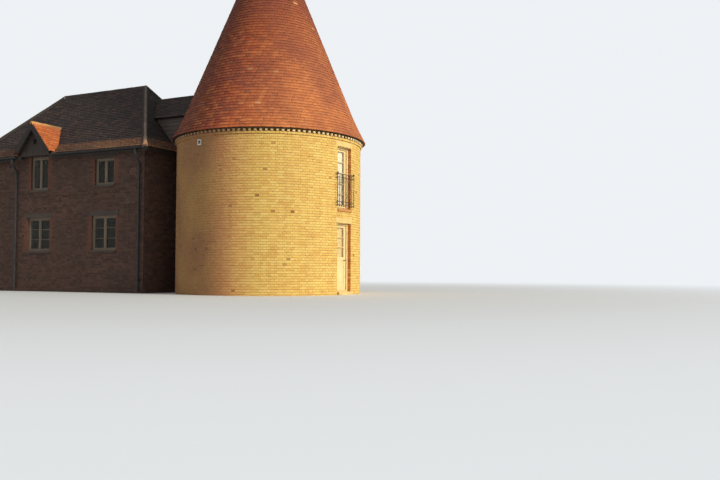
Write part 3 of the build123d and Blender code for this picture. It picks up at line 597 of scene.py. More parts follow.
def tile_finish(name, stops, odd_colour, lichen, darkening_colour, patch, turn=None, lichen_amount=0.5):
    """Weathered tile: colour by its tone, pale or dark odd ones, a head darkened as dirt and painted shade
    under the course above, and lichen on some tails.
    """
    material, tree, shader = finish_of(name, 0.82, Specular_IOR_Level=0.15)
    odd = times(tree, ease(tree, tone_of(tree, "kind"), 0.90, 0.99), 0.8)
    colour = mixed(tree, odd, ramp(tree, tone_of(tree, "tone"), *stops), odd_colour)
    if turn:
        colour = turn(tree, colour)
    colour, height = use(tree, drift, colour, patch, 0.6, 0.8, 0.3, 55.0)
    # dirt and painted shade: each tile darkens from its tail to its head, under the course above
    colour = mixed(tree, ease(tree, tone_of(tree, "tail"), 1.0, 0.0, 0.7), colour, darkening_colour)
    bloom = ease(tree, noise(tree, 9.0, 5.0, rough=0.75), 0.60, 0.70, lichen_amount)
    coat(tree, shader, mixed(tree, bloom, colour, lichen), height, 0.004)
    return material


def cone_painted_sun_and_shade(tree, colour):
    """The cone's tiles are painted paler orange on the east side as painted sunlight, darker on the west side
    as painted shade, and brown up to the throat.

    A few pale ones, put in later in place of slipped tiles, haven't weathered yet.
    """
    spot = here(tree)
    # painted sunlight: the east side is painted paler orange
    colour = mixed(tree, ease(tree, spot[0], kiln_x + 0.3, kiln_x + 2.0, 0.5), colour, (0.84, 0.35, 0.115))
    colour = mixed(tree, ease(tree, spot[2], 6.0, 9.4, 0.8), colour, (0.20, 0.052, 0.028))
    # painted shade: the west side is darkened
    painted_cone_shade = ease(tree, spot[0], kiln_x + 0.4, kiln_x - 1.0)
    colour = mixed(tree, painted_cone_shade, colour, (0.42, 0.54, 0.76), "MULTIPLY")
    return mixed(tree, ease(tree, tone_of(tree, "kind"), 0.0060, 0.0040, 0.65), colour, (0.90, 0.46, 0.20))


cone_tile = tile_finish(
    "cone_tile",
    [(0.0, 0.36, 0.076, 0.036), (0.35, 0.50, 0.110, 0.040), (0.7, 0.59, 0.145, 0.047),
     (1.0, 0.72, 0.22, 0.072)],
    (0.20, 0.075, 0.055), (0.66, 0.46, 0.25), (0.14, 0.040, 0.020), (0.25, 0.072, 0.050),
    cone_painted_sun_and_shade, 0.14,
)
cone_rows = []
for number, tail in enumerate(np.arange(0, profile_v[-1] - 0.02, gauge)):
    radius = np.interp(tail, profile_v, profile_r)
    count = round(2 * math.pi * radius / tile_width)
    step = 2 * math.pi / count
    edge = (np.arange(count) + number % 2 / 2 + 0.13 * (number // 7)) * step
    ends = np.stack([edge, edge + step, edge, edge + step])
    ends += np.array([[1], [-1], [1], [-1]]) * cone_gap / radius
    if number == 0:
        cone_rows.append(eaves_row(*(ends + step / 2), 0.0))
    cone_rows.append(tile_row(*ends, tail, min(gauge + tile_lap, profile_v[-1] - tail)))
tile_piece("cone_tiles", cone_rows, on_cone, cone_tile)

# Wing walls: dark red stock bricks in English bond, their lime mortar gone grey, with a string course one
# brick high at the first floor and brighter rubbed bricks beside the windows. Bricks and mortar are
# painted darker still, as painted shade over the whole wing.
wing_left, wing_right, wing_face = -7.015, 1.005, 2.259
wing_wall_top = 4.56
string_low = 3.19
string_proud = 0.022
reveal_depth = 0.06
rubbed_width = 0.16
sill_height = 0.065
lintel_bearing = 0.08
link_face = 0.73
link_wall_top = 4.42
right_window, dormer_x = -0.63, -3.54
window_sizes = {"upper": (0.83, 3.455, 4.32), "lower": (1.05, 1.35, 2.47), "dormer": (0.80, 3.41, 4.53)}
windows = [(x, kind, side) for side, tall in ((-1, "dormer"), (1, "upper")) for x, kind in (
    (right_window, "upper"), (right_window, "lower"), (dormer_x, "lower"), (dormer_x, tall))]


def side_wall(side, face):
    """Outer face of a front (-1) or back (1) wall; along runs to the right as seen from outside."""
    return lambda along, out, up: plain_axes(-side * along, side * (face + out), up)


def end_wall(side):
    """Outer face of the wing's left (-1) or right (1) end wall."""
    face = wing_left if side < 0 else wing_right
    return lambda along, out, up: plain_axes(face + side * out, side * along, up)


def rubbed_red(tree, colour):
    """Rubbed bricks beside the windows are a brighter red."""
    return mixed(tree, times(tree, tone_of(tree, "rubbed"), 0.75), colour, (0.22, 0.082, 0.045))


# painted shade: the wing's bricks are darker than their own red, as shade over the whole wing
wing_brick = brick_finish(
    "wing_brick",
    [(0.0, 0.080, 0.046, 0.036), (0.35, 0.105, 0.059, 0.045), (0.7, 0.13, 0.070, 0.052),
     (1.0, 0.16, 0.088, 0.064)],
    (0.05, 0.033, 0.029), (0.085, 0.052, 0.042), (0.055, 0.040, 0.034), rubbed_red,
)


def wing_outside(tree, spot):
    """True on the outer skin of the wing's walls, and on the link's walls beyond its right end."""
    along = maths(tree, "ABSOLUTE", maths(tree, "SUBTRACT", spot[0], (wing_left + wing_right) / 2))
    by_end = over(tree, along, (wing_right - wing_left) / 2 - skin)
    return maths(tree, "MAXIMUM", by_end, over(tree, maths(tree, "ABSOLUTE", spot[1]), wing_face - skin))


# painted shade: the wing's mortar is darkened with the bricks, as shade over the whole wing
wing_mortar = mortar_finish("wing_mortar", (0.13, 0.095, 0.075), (0.07, 0.052, 0.042), wing_outside)
dress(wing_mortar, *[f"wing_{side}_wall" for side in ("front", "back", "left", "right")], "link_lower_walls")
wing_first = string_low - 43 * course
for side, label in ((-1, "front"), (1, "back")):
    holes, rubbed = [], []
    for x, kind, window_side in windows:
        if window_side != side:
            continue
        width, sill, head = window_sizes[kind]
        left, right = -side * x - width / 2, -side * x + width / 2
        holes.append((left, right, sill - sill_height, head))
        rubbed.append((left - rubbed_width, right + rubbed_width, sill, head))
        if kind != "dormer":
            holes.append((left - lintel_bearing, right + lintel_bearing, head, head + lintel_height))
    start, end = sorted((-side * wing_left, -side * wing_right))
    if side < 0:
        holes.append((-9.0, 9.0, string_low, string_low + course))
        lay_bricks("wing_string_course", string_low, string_low + course, start, end,
                   side_wall(side, wing_face + string_proud), wing_brick, "wing_brick", first=wing_first)
    lay_bricks(f"wing_{label}_bricks", 0.0, wing_wall_top, start - brick_proud, end + brick_proud,
               side_wall(side, wing_face), wing_brick, "wing_brick", holes, first=wing_first, rubbed=rubbed)
link_hole = (-link_face, link_face, -1.0, 9.0)
for side, label, holes in ((-1, "left", []), (1, "right", [link_hole])):
    lay_bricks(f"wing_{label}_bricks", 0.0, wing_wall_top, -wing_face, wing_face, end_wall(side),
               wing_brick, "wing_brick", holes, first=wing_first)


def window_reveal(x, side, hand, half):
    """Side of a window opening, hand -1 at its left as seen from the front, 1 at its right.

    along runs through the wall.
    """
    inward = 1 if hand * side > 0 else -1
    return lambda along, out, up: plain_axes(x + hand * (half - out), side * (wing_face + inward * along), up)


reveals = []
for x, kind, side in windows:
    width, sill, head = window_sizes[kind]
    for hand in (-1, 1):
        span = (-reveal_depth, 0.0) if hand * side > 0 else (0.0, reveal_depth)
        place = window_reveal(x, side, hand, width / 2)
        reveals.append(brick_shapes(sill, head, *span, place, first=wing_first, proud=0.004))
joined("wing_reveal_bricks", reveals, wing_brick)
link_end = kiln_x - math.sqrt(kiln_radius**2 - link_face**2)
link_shapes = []
for side in (-1, 1):
    span = sorted((-side * wing_right, -side * link_end))
    link_shapes.append(brick_shapes(0.0, link_wall_top, *span, side_wall(side, link_face), first=wing_first))
joined("link_bricks", link_shapes, wing_brick)

# Wing roof: the same tiles, older and dark with lichen and darker still as painted shade over the whole
# wing, over sprocketed feet painted red, partly their own colour and partly painted sunlight.
# They run to the hips, stop at the dormer and the link, and are cut to the valleys there.
roof_left, roof_right, roof_half = -7.22, 1.21, 2.464
roof_eaves, roof_knee, roof_ridge = 4.6, 4.905, 7.15
left_run, right_run, knee_share = 2.42, 2.195, 0.42 / 2.464
main_profile = ((0.0, roof_eaves), (knee_share, roof_knee), (1.0, roof_ridge))
dormer_half, dormer_eaves, dormer_ridge = 0.8, 4.67, 5.64
dormer_pitch = (dormer_ridge - dormer_eaves) / dormer_half
dormer_front = -2.624
link_half, link_eaves, link_ridge = 0.85, 5.8, 6.595
link_pitch = (link_ridge - link_eaves) / link_half
eaves_reach = 0.035
tile_gap = 0.0012
least_tile = 0.03


def slope(foot, inward, run, profile=main_profile):
    """A roof slope: u along its eaves, v up its profile from the eaves, out square to its face.

    foot is a point of its eaves line in plan, inward a unit direction, and the profile goes through pairs
    of a share of its run in plan and a level. Also returned are the plan distance and level that the
    profile reaches at v, and its length.
    """
    shares, levels = np.array(profile).T
    knees = np.append(0, np.cumsum(np.hypot(np.diff(shares * run), np.diff(levels))))
    dense = np.linspace(0, knees[-1], 200)
    t, z = np.interp(dense, knees, shares * run), np.interp(dense, knees, levels)
    turn_t, turn_z = (np.convolve(np.pad(np.gradient(side, dense), 4, "edge"), np.ones(9) / 9, "valid")
                      for side in (t, z))
    axes = np.array([(inward[1], -inward[0], 0), (*inward, 0), (0, 0, 1)], float)

    def reach(v):
        return np.interp(v, dense, t), np.interp(v, dense, z)

    def place(u, v, out):
        depth, height = reach(v)
        depth = depth + np.minimum(v, 0) * turn_t[0] - out * np.interp(v, dense, turn_z)
        height = height + np.minimum(v, 0) * turn_z[0] + out * np.interp(v, dense, turn_t)
        return np.array([*foot, 0.0]) + plain_axes(u, depth, height) @ axes
    return place, reach, knees[-1]


def course_rows(spans, length, first=0, last=None):
    """Courses of tiles over a slope; spans(v) gives the clear stretches of u at the height v up it.

    Each tile is cut at both its tail and its head to the edges that the slope has there.
    """
    rows = []
    for number in range(first, last or math.ceil((length - least_tile) / gauge)):
        tail = number * gauge - (eaves_reach if number == 0 else 0.0)
        head = min(number * gauge + gauge + tile_lap, length)
        for tail_cut, head_cut in zip(spans(max(tail, 0.0)), spans(head)):
            start = math.floor(min(tail_cut[0], head_cut[0]) / tile_width) - 1
            end = math.ceil(max(tail_cut[1], head_cut[1]) / tile_width) + 1
            mark = (np.arange(start, end) + number % 2 / 2) * tile_width
            edges = np.stack([np.clip(mark + shift, *cut) for cut in (tail_cut, head_cut)
                              for shift in (tile_gap, tile_width - tile_gap)])
            edges = edges[:, (edges[1] - edges[0]) + (edges[3] - edges[2]) > least_tile]
            if number == 0:
                rows.append(eaves_row(*edges, tail))
            if edges.size:
                rows.append(tile_row(*edges, tail, head - tail))
    return rows


def tiled_slope(name, foot, inward, run, clear, finish, profile=main_profile):
    """Piece of tiles over a slope; clear(depth, z) gives the clear stretches at a plan distance and level."""
    place, reach, length = slope(foot, inward, run, profile)
    tile_piece(name, course_rows(lambda v: clear(*reach(v)), length), place, finish)


def depth_at(z, run):
    """Plan distance in from the eaves at which a slope of the given run stands at the level z."""
    shares, levels = np.array(main_profile).T
    return np.interp(z, levels, shares * run)


def red_and_sunlit_foot(tree, colour):
    """The sprocketed foot of the roof is painted red with moss, partly the tiles' own red and partly painted
    sunlight, and so is any tile near the eaves.
    """
    foot = ease(tree, here(tree)[2], roof_knee + 0.06, roof_knee - 0.02)
    foot_patches = ease(tree, noise(tree, 6.0, 4.0), 0.30, 0.62, 0.4)
    mossy = ease(tree, noise(tree, 14.0), 0.52, 0.62, 0.85)
    red = mixed(tree, mossy, (0.30, 0.115, 0.056), (0.42, 0.31, 0.13))
    # painted sunlight: the red strip along the foot stands partly for low sun grazing it
    return mixed(tree, times(tree, foot, plus(tree, foot_patches, 0.55)), colour, red)


# painted shade: these tiles are darker than the cone's same tiles, over the whole wing
wing_tile = tile_finish(
    "wing_tile",
    [(0.0, 0.036, 0.027, 0.025), (0.4, 0.052, 0.037, 0.033), (0.75, 0.068, 0.046, 0.039),
     (1.0, 0.10, 0.060, 0.046)],
    (0.13, 0.072, 0.050), (0.13, 0.115, 0.080), (0.026, 0.021, 0.020), (0.046, 0.037, 0.034), red_and_sunlit_foot, 0.25,
)
front_place, front_reach, front_length = slope((0, -roof_half), (0, 1), roof_half)
heights = np.linspace(0, front_length, 99)
apex_course = math.ceil(np.interp(dormer_ridge, front_reach(heights)[1], heights) / gauge)


def front_spans(v, open_dormer=False):
    """Clear stretches of the front slope at v: from hip to hip, or to the dormer's valleys and on."""
    depth, z = front_reach(v)
    left, right = roof_left + depth * (left_run / roof_half), roof_right - depth * (right_run / roof_half)
    half = float(np.clip((dormer_ridge - z) / dormer_pitch, 0, dormer_half))
    return [(left, dormer_x - half), (dormer_x + half, right)] if open_dormer else [(left, right)]


def back_clear(depth, z):
    """The back slope from hip to hip."""
    return [(-roof_right + depth * (right_run / roof_half), -roof_left - depth * (left_run / roof_half))]


def left_clear(depth, z):
    """The left hip end from hip to hip."""
    half = roof_half * (1 - depth / left_run)
    return [(-half, half)]


def right_clear(depth, z):
    """The right hip end on both sides of the link."""
    half = roof_half * (1 - depth / right_run)
    clear = link_face if z < link_eaves else float(np.clip((link_ridge - z) / link_pitch, 0, link_half))
    return [(-half, -min(clear, half)), (min(clear, half), half)]


front_rows = course_rows(lambda v: front_spans(v, True), front_length, last=apex_course)
front_rows += course_rows(front_spans, front_length, first=apex_course)
tile_piece("wing_front_tiles", front_rows, front_place, wing_tile)
tiled_slope("wing_back_tiles", (0, roof_half), (0, -1), roof_half, back_clear, wing_tile)
tiled_slope("wing_left_tiles", (roof_left, 0), (1, 0), left_run, left_clear, wing_tile)
tiled_slope("wing_right_tiles", (roof_right, 0), (-1, 0), right_run, right_clear, wing_tile)

# Shared effect: the grain of timber, fine and long in one direction, with darker streaks
grain, given, out = effect("Grain", {"Colour": white, "Dark": black, "Amount": 0.5, "Stretch": (1, 1, 1)})
fibre = noise(grain, 55.0, 4.0, given["Stretch"], 0.65)
band = noise(grain, 9.0, 3.0, given["Stretch"])
lines = ease(grain, plus(grain, times(grain, fibre, 0.6), times(grain, band, 0.4)), 0.38, 0.62)
lined = times(grain, lines, given["Amount"])
feed(grain, out, {"Colour": mixed(grain, lined, given["Colour"], given["Dark"]), "Height": fibre})


def timber_finish(name, colour, dark, stretch, amount, turn=None):
    """Timber, bare or painted: grain along the axis that is least stretched, and weathered patches."""
    material, tree, shader = finish_of(name, 0.66, Specular_IOR_Level=0.25)
    lined, height = use(tree, grain, colour, dark, amount, stretch)
    made = use(tree, drift, lined, dark, 0.35, 2.2, 0.12, 90.0)[0]
    if turn:
        made, metal, gloss = turn(tree, made)
        feed(tree, shader, {"Metallic": metal, "Roughness": gloss})
    coat(tree, shader, made, height, 0.0015)
    return material


roof_timber = timber_finish("roof_timber", (0.045, 0.034, 0.028), (0.020, 0.016, 0.014), (1, 1, 1), 0.7)
dress(roof_timber, *[f"wing_roof_{side}" for side in ("front", "back", "left_hip", "right_hip")],
      "link_roof", "dormer_roof", "kiln_roof")

# Dormer: a small gabled roof over the tall upper window, its right slope painted orange as painted
# sunlight and its left slope painted dark as painted shade, with stained bargeboards, an upright-boarded
# gable and a louvred vent.
gable_top, gable_half, gable_low, gable_face = 5.498, 0.65, 4.55, -2.464
vent_half, vent_low, vent_high = 0.075, 4.935, 5.125
vent_frame = 0.015
board = 0.108
board_gap = 0.002


def painted_shade_dormer_left(tree, colour):
    """The dormer's left slope is painted as dark as the main roof: painted shade."""
    left = ease(tree, here(tree)[0], dormer_x + 0.01, dormer_x - 0.01, 0.8)
    return mixed(tree, left, colour, (0.055, 0.038, 0.034))


# painted sunlight: the dormer's tiles are orange, as on its sunlit right slope; its left slope is painted
# dark as shade
dormer_tile = tile_finish(
    "dormer_tile",
    [(0.0, 0.47, 0.12, 0.034), (0.5, 0.60, 0.16, 0.042), (1.0, 0.70, 0.23, 0.062)],
    (0.30, 0.09, 0.04), (0.42, 0.28, 0.12), (0.24, 0.07, 0.03), (0.38, 0.11, 0.045), painted_shade_dormer_left, 0.12,
)
for side, label in ((-1, "left"), (1, "right")):
    def to_valley(depth, z, side=side):
        """From the verge over the bargeboard back to the valley."""
        return [sorted((side * dormer_front, side * (depth_at(z, roof_half) - roof_half)))]
    tiled_slope(f"dormer_{label}_tiles", (dormer_x + side * dormer_half, 0), (-side, 0), dormer_half,
                to_valley, dormer_tile, ((0, dormer_eaves), (1, dormer_ridge)))


def gable_front(along, out, up):
    """Front of the dormer's gable."""
    return plain_axes(along, gable_face - out, up)


def upright_board(left, right, low, high):
    """Corners of a board from low up to high, the levels of its top at its left and right edge."""
    return [(left, low), (right, low), (right, high[1]), (left, high[0])]


dark_board = timber_finish("dark_board", (0.070, 0.050, 0.040), (0.030, 0.024, 0.022), (1, 1, 0.06), 0.7)
barge_board = timber_finish("barge_board", (0.028, 0.021, 0.019), (0.016, 0.013, 0.012), (0.1, 1, 0.1), 0.6)
boards = []
for edge in dormer_x + board * np.arange(-6, 6):
    left = max(edge + board_gap, dormer_x - gable_half)
    right = min(edge + board - board_gap, dormer_x + gable_half)
    tops = [gable_top - 0.006 - dormer_pitch * abs(x - dormer_x) for x in (left, right)]
    if abs((left + right) / 2 - dormer_x) < board:
        below = vent_low - 2 * vent_frame
        boards.append(upright_board(left, right, gable_low, (below, below)))
        boards.append(upright_board(left, right, vent_high + 2 * vent_frame, tops))
    else:
        boards.append(upright_board(left, right, gable_low, tops))
joined("dormer_gable_boards", [raised(boards, -0.004, 0.014, gable_front, 0.003)], dark_board)
dress(dark_board, "dormer_gable")
dress(barge_board, "dormer_bargeboards")
vent_middle = (vent_low + vent_high) / 2
surround = [((dormer_x + x, gable_face - 0.01, vent_middle), (0.018, 0.012, 0.125))
            for x in (-vent_half - vent_frame, vent_half + vent_frame)]
surround += [((dormer_x, gable_face - 0.01, z), (vent_half, 0.012, 0.018))
             for z in (vent_low - vent_frame, vent_high + vent_frame)]
surround += [((dormer_x, gable_face + 0.02, vent_low + 0.03 + 0.045 * k), (vent_half, 0.014, 0.007))
             for k in range(4)]
solid_blocks("dormer_vent_louvres", surround, plain_axes, dark_board, chamfer=0.002)

# Link: its little roof is tiled like the wing's, and its cheeks are weatherboarded with sawn boards that
# lap by 20 mm and are cut to the slopes at both ends.
for side, label in ((-1, "front"), (1, "back")):
    def to_cone(depth, z, side=side):
        """From the wing's hip to the cone."""
        radius = float(np.interp(z, profile_z, profile_r)) + 0.012
        cone = kiln_x - math.sqrt(radius**2 - (link_half - depth) ** 2)
        return [sorted((-side * (roof_right - depth_at(z, right_run)), -side * cone))]
    tiled_slope(f"link_{label}_tiles", (0, side * link_half), (0, -side), link_half, to_cone, wing_tile,
                ((0, link_eaves), (1, link_ridge)))


cornice_z, cornice_r = [4.4, 4.75, 4.78], [2.97, 2.97, 3.05]


def cheek_ends(z):
    """Where the cheek meets the wing, and the kiln with its cornice or the cone, at the level z."""
    radius = np.interp(z, [*cornice_z, *profile_z[1:]], [*cornice_r, *profile_r[1:]])
    start = np.where(z < roof_eaves, wing_right, roof_right - depth_at(z, right_run))
    return float(start), float(kiln_x - np.sqrt(radius**2 - link_face**2))


lap = 0.135
cheek_top = 5.762
board_front = np.array([0.024, 0.024, 0.006, 0.006])
sheets = []
for side in (-1, 1):
    quads = []
    for low in np.arange(link_wall_top, cheek_top - 0.002, lap):
        high = min(low + lap, cheek_top)
        below, above = (sorted(-side * x for x in cheek_ends(z)) for z in (low, high))
        quads.append([(below[0], low), (below[1], low), (above[1], high), (above[0], high)])
    sheets.append(raised(quads, -0.004, board_front, side_wall(side, link_face), 0.002))
link_board = timber_finish("link_board", (0.17, 0.125, 0.105), (0.075, 0.060, 0.055), (0.06, 1, 1), 0.7)
dress(link_board, "link_cheeks")
joined("link_weatherboards", sheets, link_board)

# Ridges and hips: half-round clay tiles 300 mm long bedded in mortar, the hips' grown over with pale
# lichen. Each is an elliptical arch over the bedding, with butted mortar joints between.
cap_length = 0.3
cap_points = 12


def cap_shapes(start, end, run_a, run_b, wing=0.095, rise=0.07):
    """Arched tiles from start to end: a ring is C + W sin(t) + K cos(t), with t from -90 to 90 degrees.

    run_a and run_b lie in the two slopes and point down them; C is midway between the feet, W half the
    way from one foot to the other, and K the way from C up to the crown.
    """
    start, end = np.array(start, float), np.array(end, float)
    line = (end - start) / np.linalg.norm(end - start)
    arms = []
    for run in (run_a, run_b):
        down = np.array(run, float)
        down -= line * down.dot(line)
        arms.append(down / np.linalg.norm(down))
    up = -(arms[0] + arms[1]) / np.linalg.norm(arms[0] + arms[1])
    middle = (arms[0] + arms[1]) / 2 * wing
    side = (arms[1] - arms[0]) / 2 * wing
    t = np.linspace(-math.pi / 2, math.pi / 2, cap_points)[:, None]
    arch = np.sin(t) * side + np.cos(t) * (up * rise - middle)
    span = np.linalg.norm(end - start)
    count = max(round(span / cap_length), 1)
    at = np.arange(count) * span / count
    rings = []
    tail, head = 0.003, span / count - 0.004
    for shift, scale in ((tail, 0.88), (tail, 1.0), (head, 1.0), (head, 0.88)):
        size = scale * (1 + chance.normal(0, 0.008, count))[:, None, None]
        lift = up * chance.normal(0, 0.0015, count)[:, None, None]
        rings.append(start + middle + size * arch + (at + shift)[:, None, None] * line + lift)
    points = np.concatenate(rings, 1)
    k = np.arange(cap_points - 1)
    strip = np.stack([k, k + 1, k + 1 + cap_points, k + cap_points], 1)
    k = np.arange(cap_points // 2 - 1)
    plug = np.stack([k, k + 1, cap_points - 2 - k, cap_points - 1 - k], 1)
    strips = [strip + cap_points * ring for ring in range(3)]
    faces = np.concatenate([*strips, plug[:, ::-1], plug + 3 * cap_points])
    if np.cross(side, line).dot(up) < 0:
        faces = faces[:, ::-1]
    each = 4 * cap_points
    tones = random_tones(count, each, tail=np.ones(each * count))
    return points.reshape(-1, 3), copies(faces, count, each), tones


def gabled_caps(start, end, level, across, pitch, wing, rise):
    """Caps along a level ridge between two slopes of the same pitch, which fall away to both sides."""
    falls = [(hand * across[0], hand * across[1], -pitch) for hand in (1, -1)]
    return cap_shapes((*start, level), (*end, level), *falls, wing, rise)


def painted_sun_at_hip_feet(tree, colour):
    """The lowest hip tiles are painted pink: painted sunlight at the hips' feet."""
    lowest = ease(tree, here(tree)[2], roof_eaves + 0.24, roof_eaves + 0.14)
    return mixed(tree, lowest, colour, (0.50, 0.29, 0.17))


def painted_sun_on_dormer_ridge(tree, colour):
    """The dormer's own ridge is painted as orange as its right slope: painted sunlight."""
    return mixed(tree, maths(tree, "LESS_THAN", here(tree)[1], -0.5), colour, (0.66, 0.32, 0.11))


hip_clay = tile_finish(
    "hip_clay",
    [(0.0, 0.18, 0.14, 0.11), (0.5, 0.24, 0.185, 0.145), (1.0, 0.32, 0.24, 0.17)],
    (0.24, 0.18, 0.12), (0.24, 0.21, 0.14), (0.08, 0.062, 0.050), (0.15, 0.12, 0.085), painted_sun_at_hip_feet, 0.5,
)
ridge_clay = tile_finish(
    "ridge_clay",
    [(0.0, 0.040, 0.030, 0.028), (0.5, 0.056, 0.040, 0.035), (1.0, 0.080, 0.054, 0.043)],
    (0.11, 0.075, 0.055), (0.11, 0.095, 0.070), (0.032, 0.026, 0.024), (0.052, 0.040, 0.035),
    painted_sun_on_dormer_ridge, 0.3,
)
dress(mortar_finish("hip_bedding", (0.075, 0.060, 0.050), (0.045, 0.036, 0.032)), "hip_tiles")
main_fall = (roof_ridge - roof_knee) / (1 - knee_share)
foot_fall = (roof_knee - roof_eaves) / knee_share
link_start = roof_right - depth_at(link_ridge, right_run) - 0.03
cone_side = kiln_x - float(np.interp(link_ridge, profile_z, profile_r)) - 0.02
dormer_back = -roof_half + depth_at(dormer_ridge, roof_half) + 0.03
ridge_caps = joined("ridge_caps", [
    gabled_caps((roof_left + left_run, 0), (roof_right - right_run, 0), roof_ridge, (0, 1),
                main_fall / roof_half, 0.105, 0.062),
    gabled_caps((link_start, 0), (cone_side, 0), link_ridge, (0, 1), link_pitch, 0.105, 0.062),
    gabled_caps((dormer_x, dormer_front - 0.03), (dormer_x, dormer_back), dormer_ridge, (1, 0), dormer_pitch,
                0.085, 0.055),
], ridge_clay)
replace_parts(ridge_caps, "ridge_tiles")
hips = []
for end, run, outward in ((roof_left, left_run, -1), (roof_right, right_run, 1)):
    for side in (-1, 1):
        knee = (end - outward * knee_share * run, side * roof_half * (1 - knee_share), roof_knee)
        foot, head = (end, side * roof_half, roof_eaves), (end - outward * run, 0, roof_ridge)
        for low, high, fall in ((foot, knee, foot_fall), (knee, head, main_fall)):
            hips.append(cap_shapes(low, high, (0, side * roof_half, -fall), (outward * run, 0, -fall)))
joined("wing_hip_caps", hips, hip_clay)


def metal_finish(name, colour, worn_colour, roughness, metallic=0.0):
    """Iron or painted metal: patches worn through to another colour, and a fine cast skin."""
    material, tree, shader = finish_of(name, roughness, Metallic=metallic)
    made, height = use(tree, drift, colour, worn_colour, 0.55, 7.0, 0.25, 160.0)
    rough = node(tree, "MapRange", {"Value": height, "To Min": roughness - 0.12, "To Max": roughness + 0.18})
    feed(tree, shader, {"Roughness": rough.outputs[0]})
    coat(tree, shader, made, height, 0.0012)
    return material


# Rainwater goods: half-round cast-iron gutters along the wing's eaves, and round pipes with two bends,
# clipped to its walls. They are black, repainted many times and chalky where rain dries.
black_iron = metal_finish("black_iron", (0.010, 0.010, 0.011), (0.030, 0.027, 0.025), 0.6)
dress(black_iron, "gutters_and_downpipes")

# Wing windows: softwood casements in old cream paint, each light with its own sash, under stained oak
# lintels and over oak sills. Panes are drawn glass.
sash = 0.026
mullion = 0.06


def glass_finish(name, tint, dusty):
    """Drawn glass, dusty in patches; lamps shine straight through it on what is behind."""
    material, tree, shader = finish_of(name, 0.0, Transmission_Weight=0.97, IOR=1.18)
    feed(tree, shader, {"Base Color": use(tree, drift, tint, dusty, 0.6, 2.5, 0.03, 30.0)[0]})
    clear = node(tree, "BsdfTransparent", {"Color": (0.96, 0.97, 0.95)}).outputs[0]
    rays = node(tree, "LightPath").outputs
    pane = tree.nodes["Principled BSDF"].outputs[0]
    for kind in ("Is Shadow Ray", "Is Diffuse Ray"):
        pane = node(tree, "MixShader", {0: rays[kind], 1: pane, 2: clear}).outputs[0]
    feed(tree, tree.nodes["Material Output"].inputs, {"Surface": pane})
    return material


wing_joinery = timber_finish("wing_joinery", (0.25, 0.19, 0.135), (0.12, 0.088, 0.062), (1, 1, 0.05), 0.6)
dress(glass_finish("wing_glass", (0.42, 0.42, 0.35), (0.32, 0.31, 0.26)), "wing_window_glass")
dress(wing_joinery, "wing_window_frames")
oak = timber_finish("wing_oak", (0.105, 0.076, 0.058), (0.045, 0.034, 0.029), (0.05, 1, 1), 0.8)
dress(oak, "wing_lintels_and_sills")
bars = []
for x, kind, side in windows:
    width, sill, head = window_sizes[kind]
    light = (width - 3 * mullion) / 2
    depth = side * (wing_face - 0.09)
    low, high = sill + mullion, head - mullion
    rail = light / 2 - sash + 0.002
    for hand in (-1, 1):
        centre = x + hand * (light + mullion) / 2
        for edge in (-1, 1):
            stile = (centre + edge * (light - sash) / 2, depth, (low + high) / 2)
            bars.append((stile, (sash / 2, 0.021, (high - low) / 2)))
        for level in (low + sash / 2, high - sash / 2):
            bars.append(((centre, depth, level), (rail, 0.0205, sash / 2)))
        if kind == "lower":
            for part_way in (1 / 3, 2 / 3):
                bars.append(((centre, depth, low + part_way * (high - low)), (rail, 0.014, 0.01)))
solid_blocks("wing_sashes", bars, plain_axes, wing_joinery)

# Kiln door and tall window: painted hardwood, both with a column of panes; the door has a raised panel
# below its panes, and its iron furniture is black. Over each is a pale stone lintel.
leaf_back = 2.6776
leaf_front = leaf_back + 0.045
handle_level = 1.03
blind_depth = leaf_back - 0.022


def furniture(tree, colour):
    """What stands off the leaf's two faces is its iron handle and hinges, black and worn."""
    spot = here(tree)
    c, s = math.cos(door_turn), math.sin(door_turn)
    east = maths(tree, "SUBTRACT", spot[0], kiln_x)
    depth = plus(tree, times(tree, east, c), times(tree, spot[1], s))
    across = maths(tree, "SUBTRACT", times(tree, spot[1], c), times(tree, east, s))
    by_handle = maths(tree, "COMPARE", spot[2], handle_level)
    by_handle.node.inputs[2].default_value = 0.03
    in_frame = maths(tree, "LESS_THAN", maths(tree, "ABSOLUTE", across), 0.28)
    outer = times(tree, over(tree, depth, leaf_front + 0.0004), times(tree, by_handle, in_frame))
    iron = maths(tree, "MAXIMUM", maths(tree, "LESS_THAN", depth, leaf_back - 0.0004), outer)
    dark = mixed(tree, noise(tree, 30.0), (0.03, 0.027, 0.025), (0.10, 0.075, 0.05))
    gloss = node(tree, "MapRange", {"Value": iron, "To Min": 0.62, "To Max": 0.42}).outputs[0]
    return mixed(tree, iron, colour, dark), times(tree, iron, 0.8), gloss


def stone_finish(name, colour, dark):
    """Sawn stone or a cast slab: soft patches, fine grit and rain marks."""
    material, tree, shader = finish_of(name, 0.85, Specular_IOR_Level=0.2)
    made, height = use(tree, drift, colour, dark, 0.5, 3.0, 0.16, 120.0)
    coat(tree, shader, use(tree, streaks, made, dark, 0.3)[0], height, 0.002)
    return material


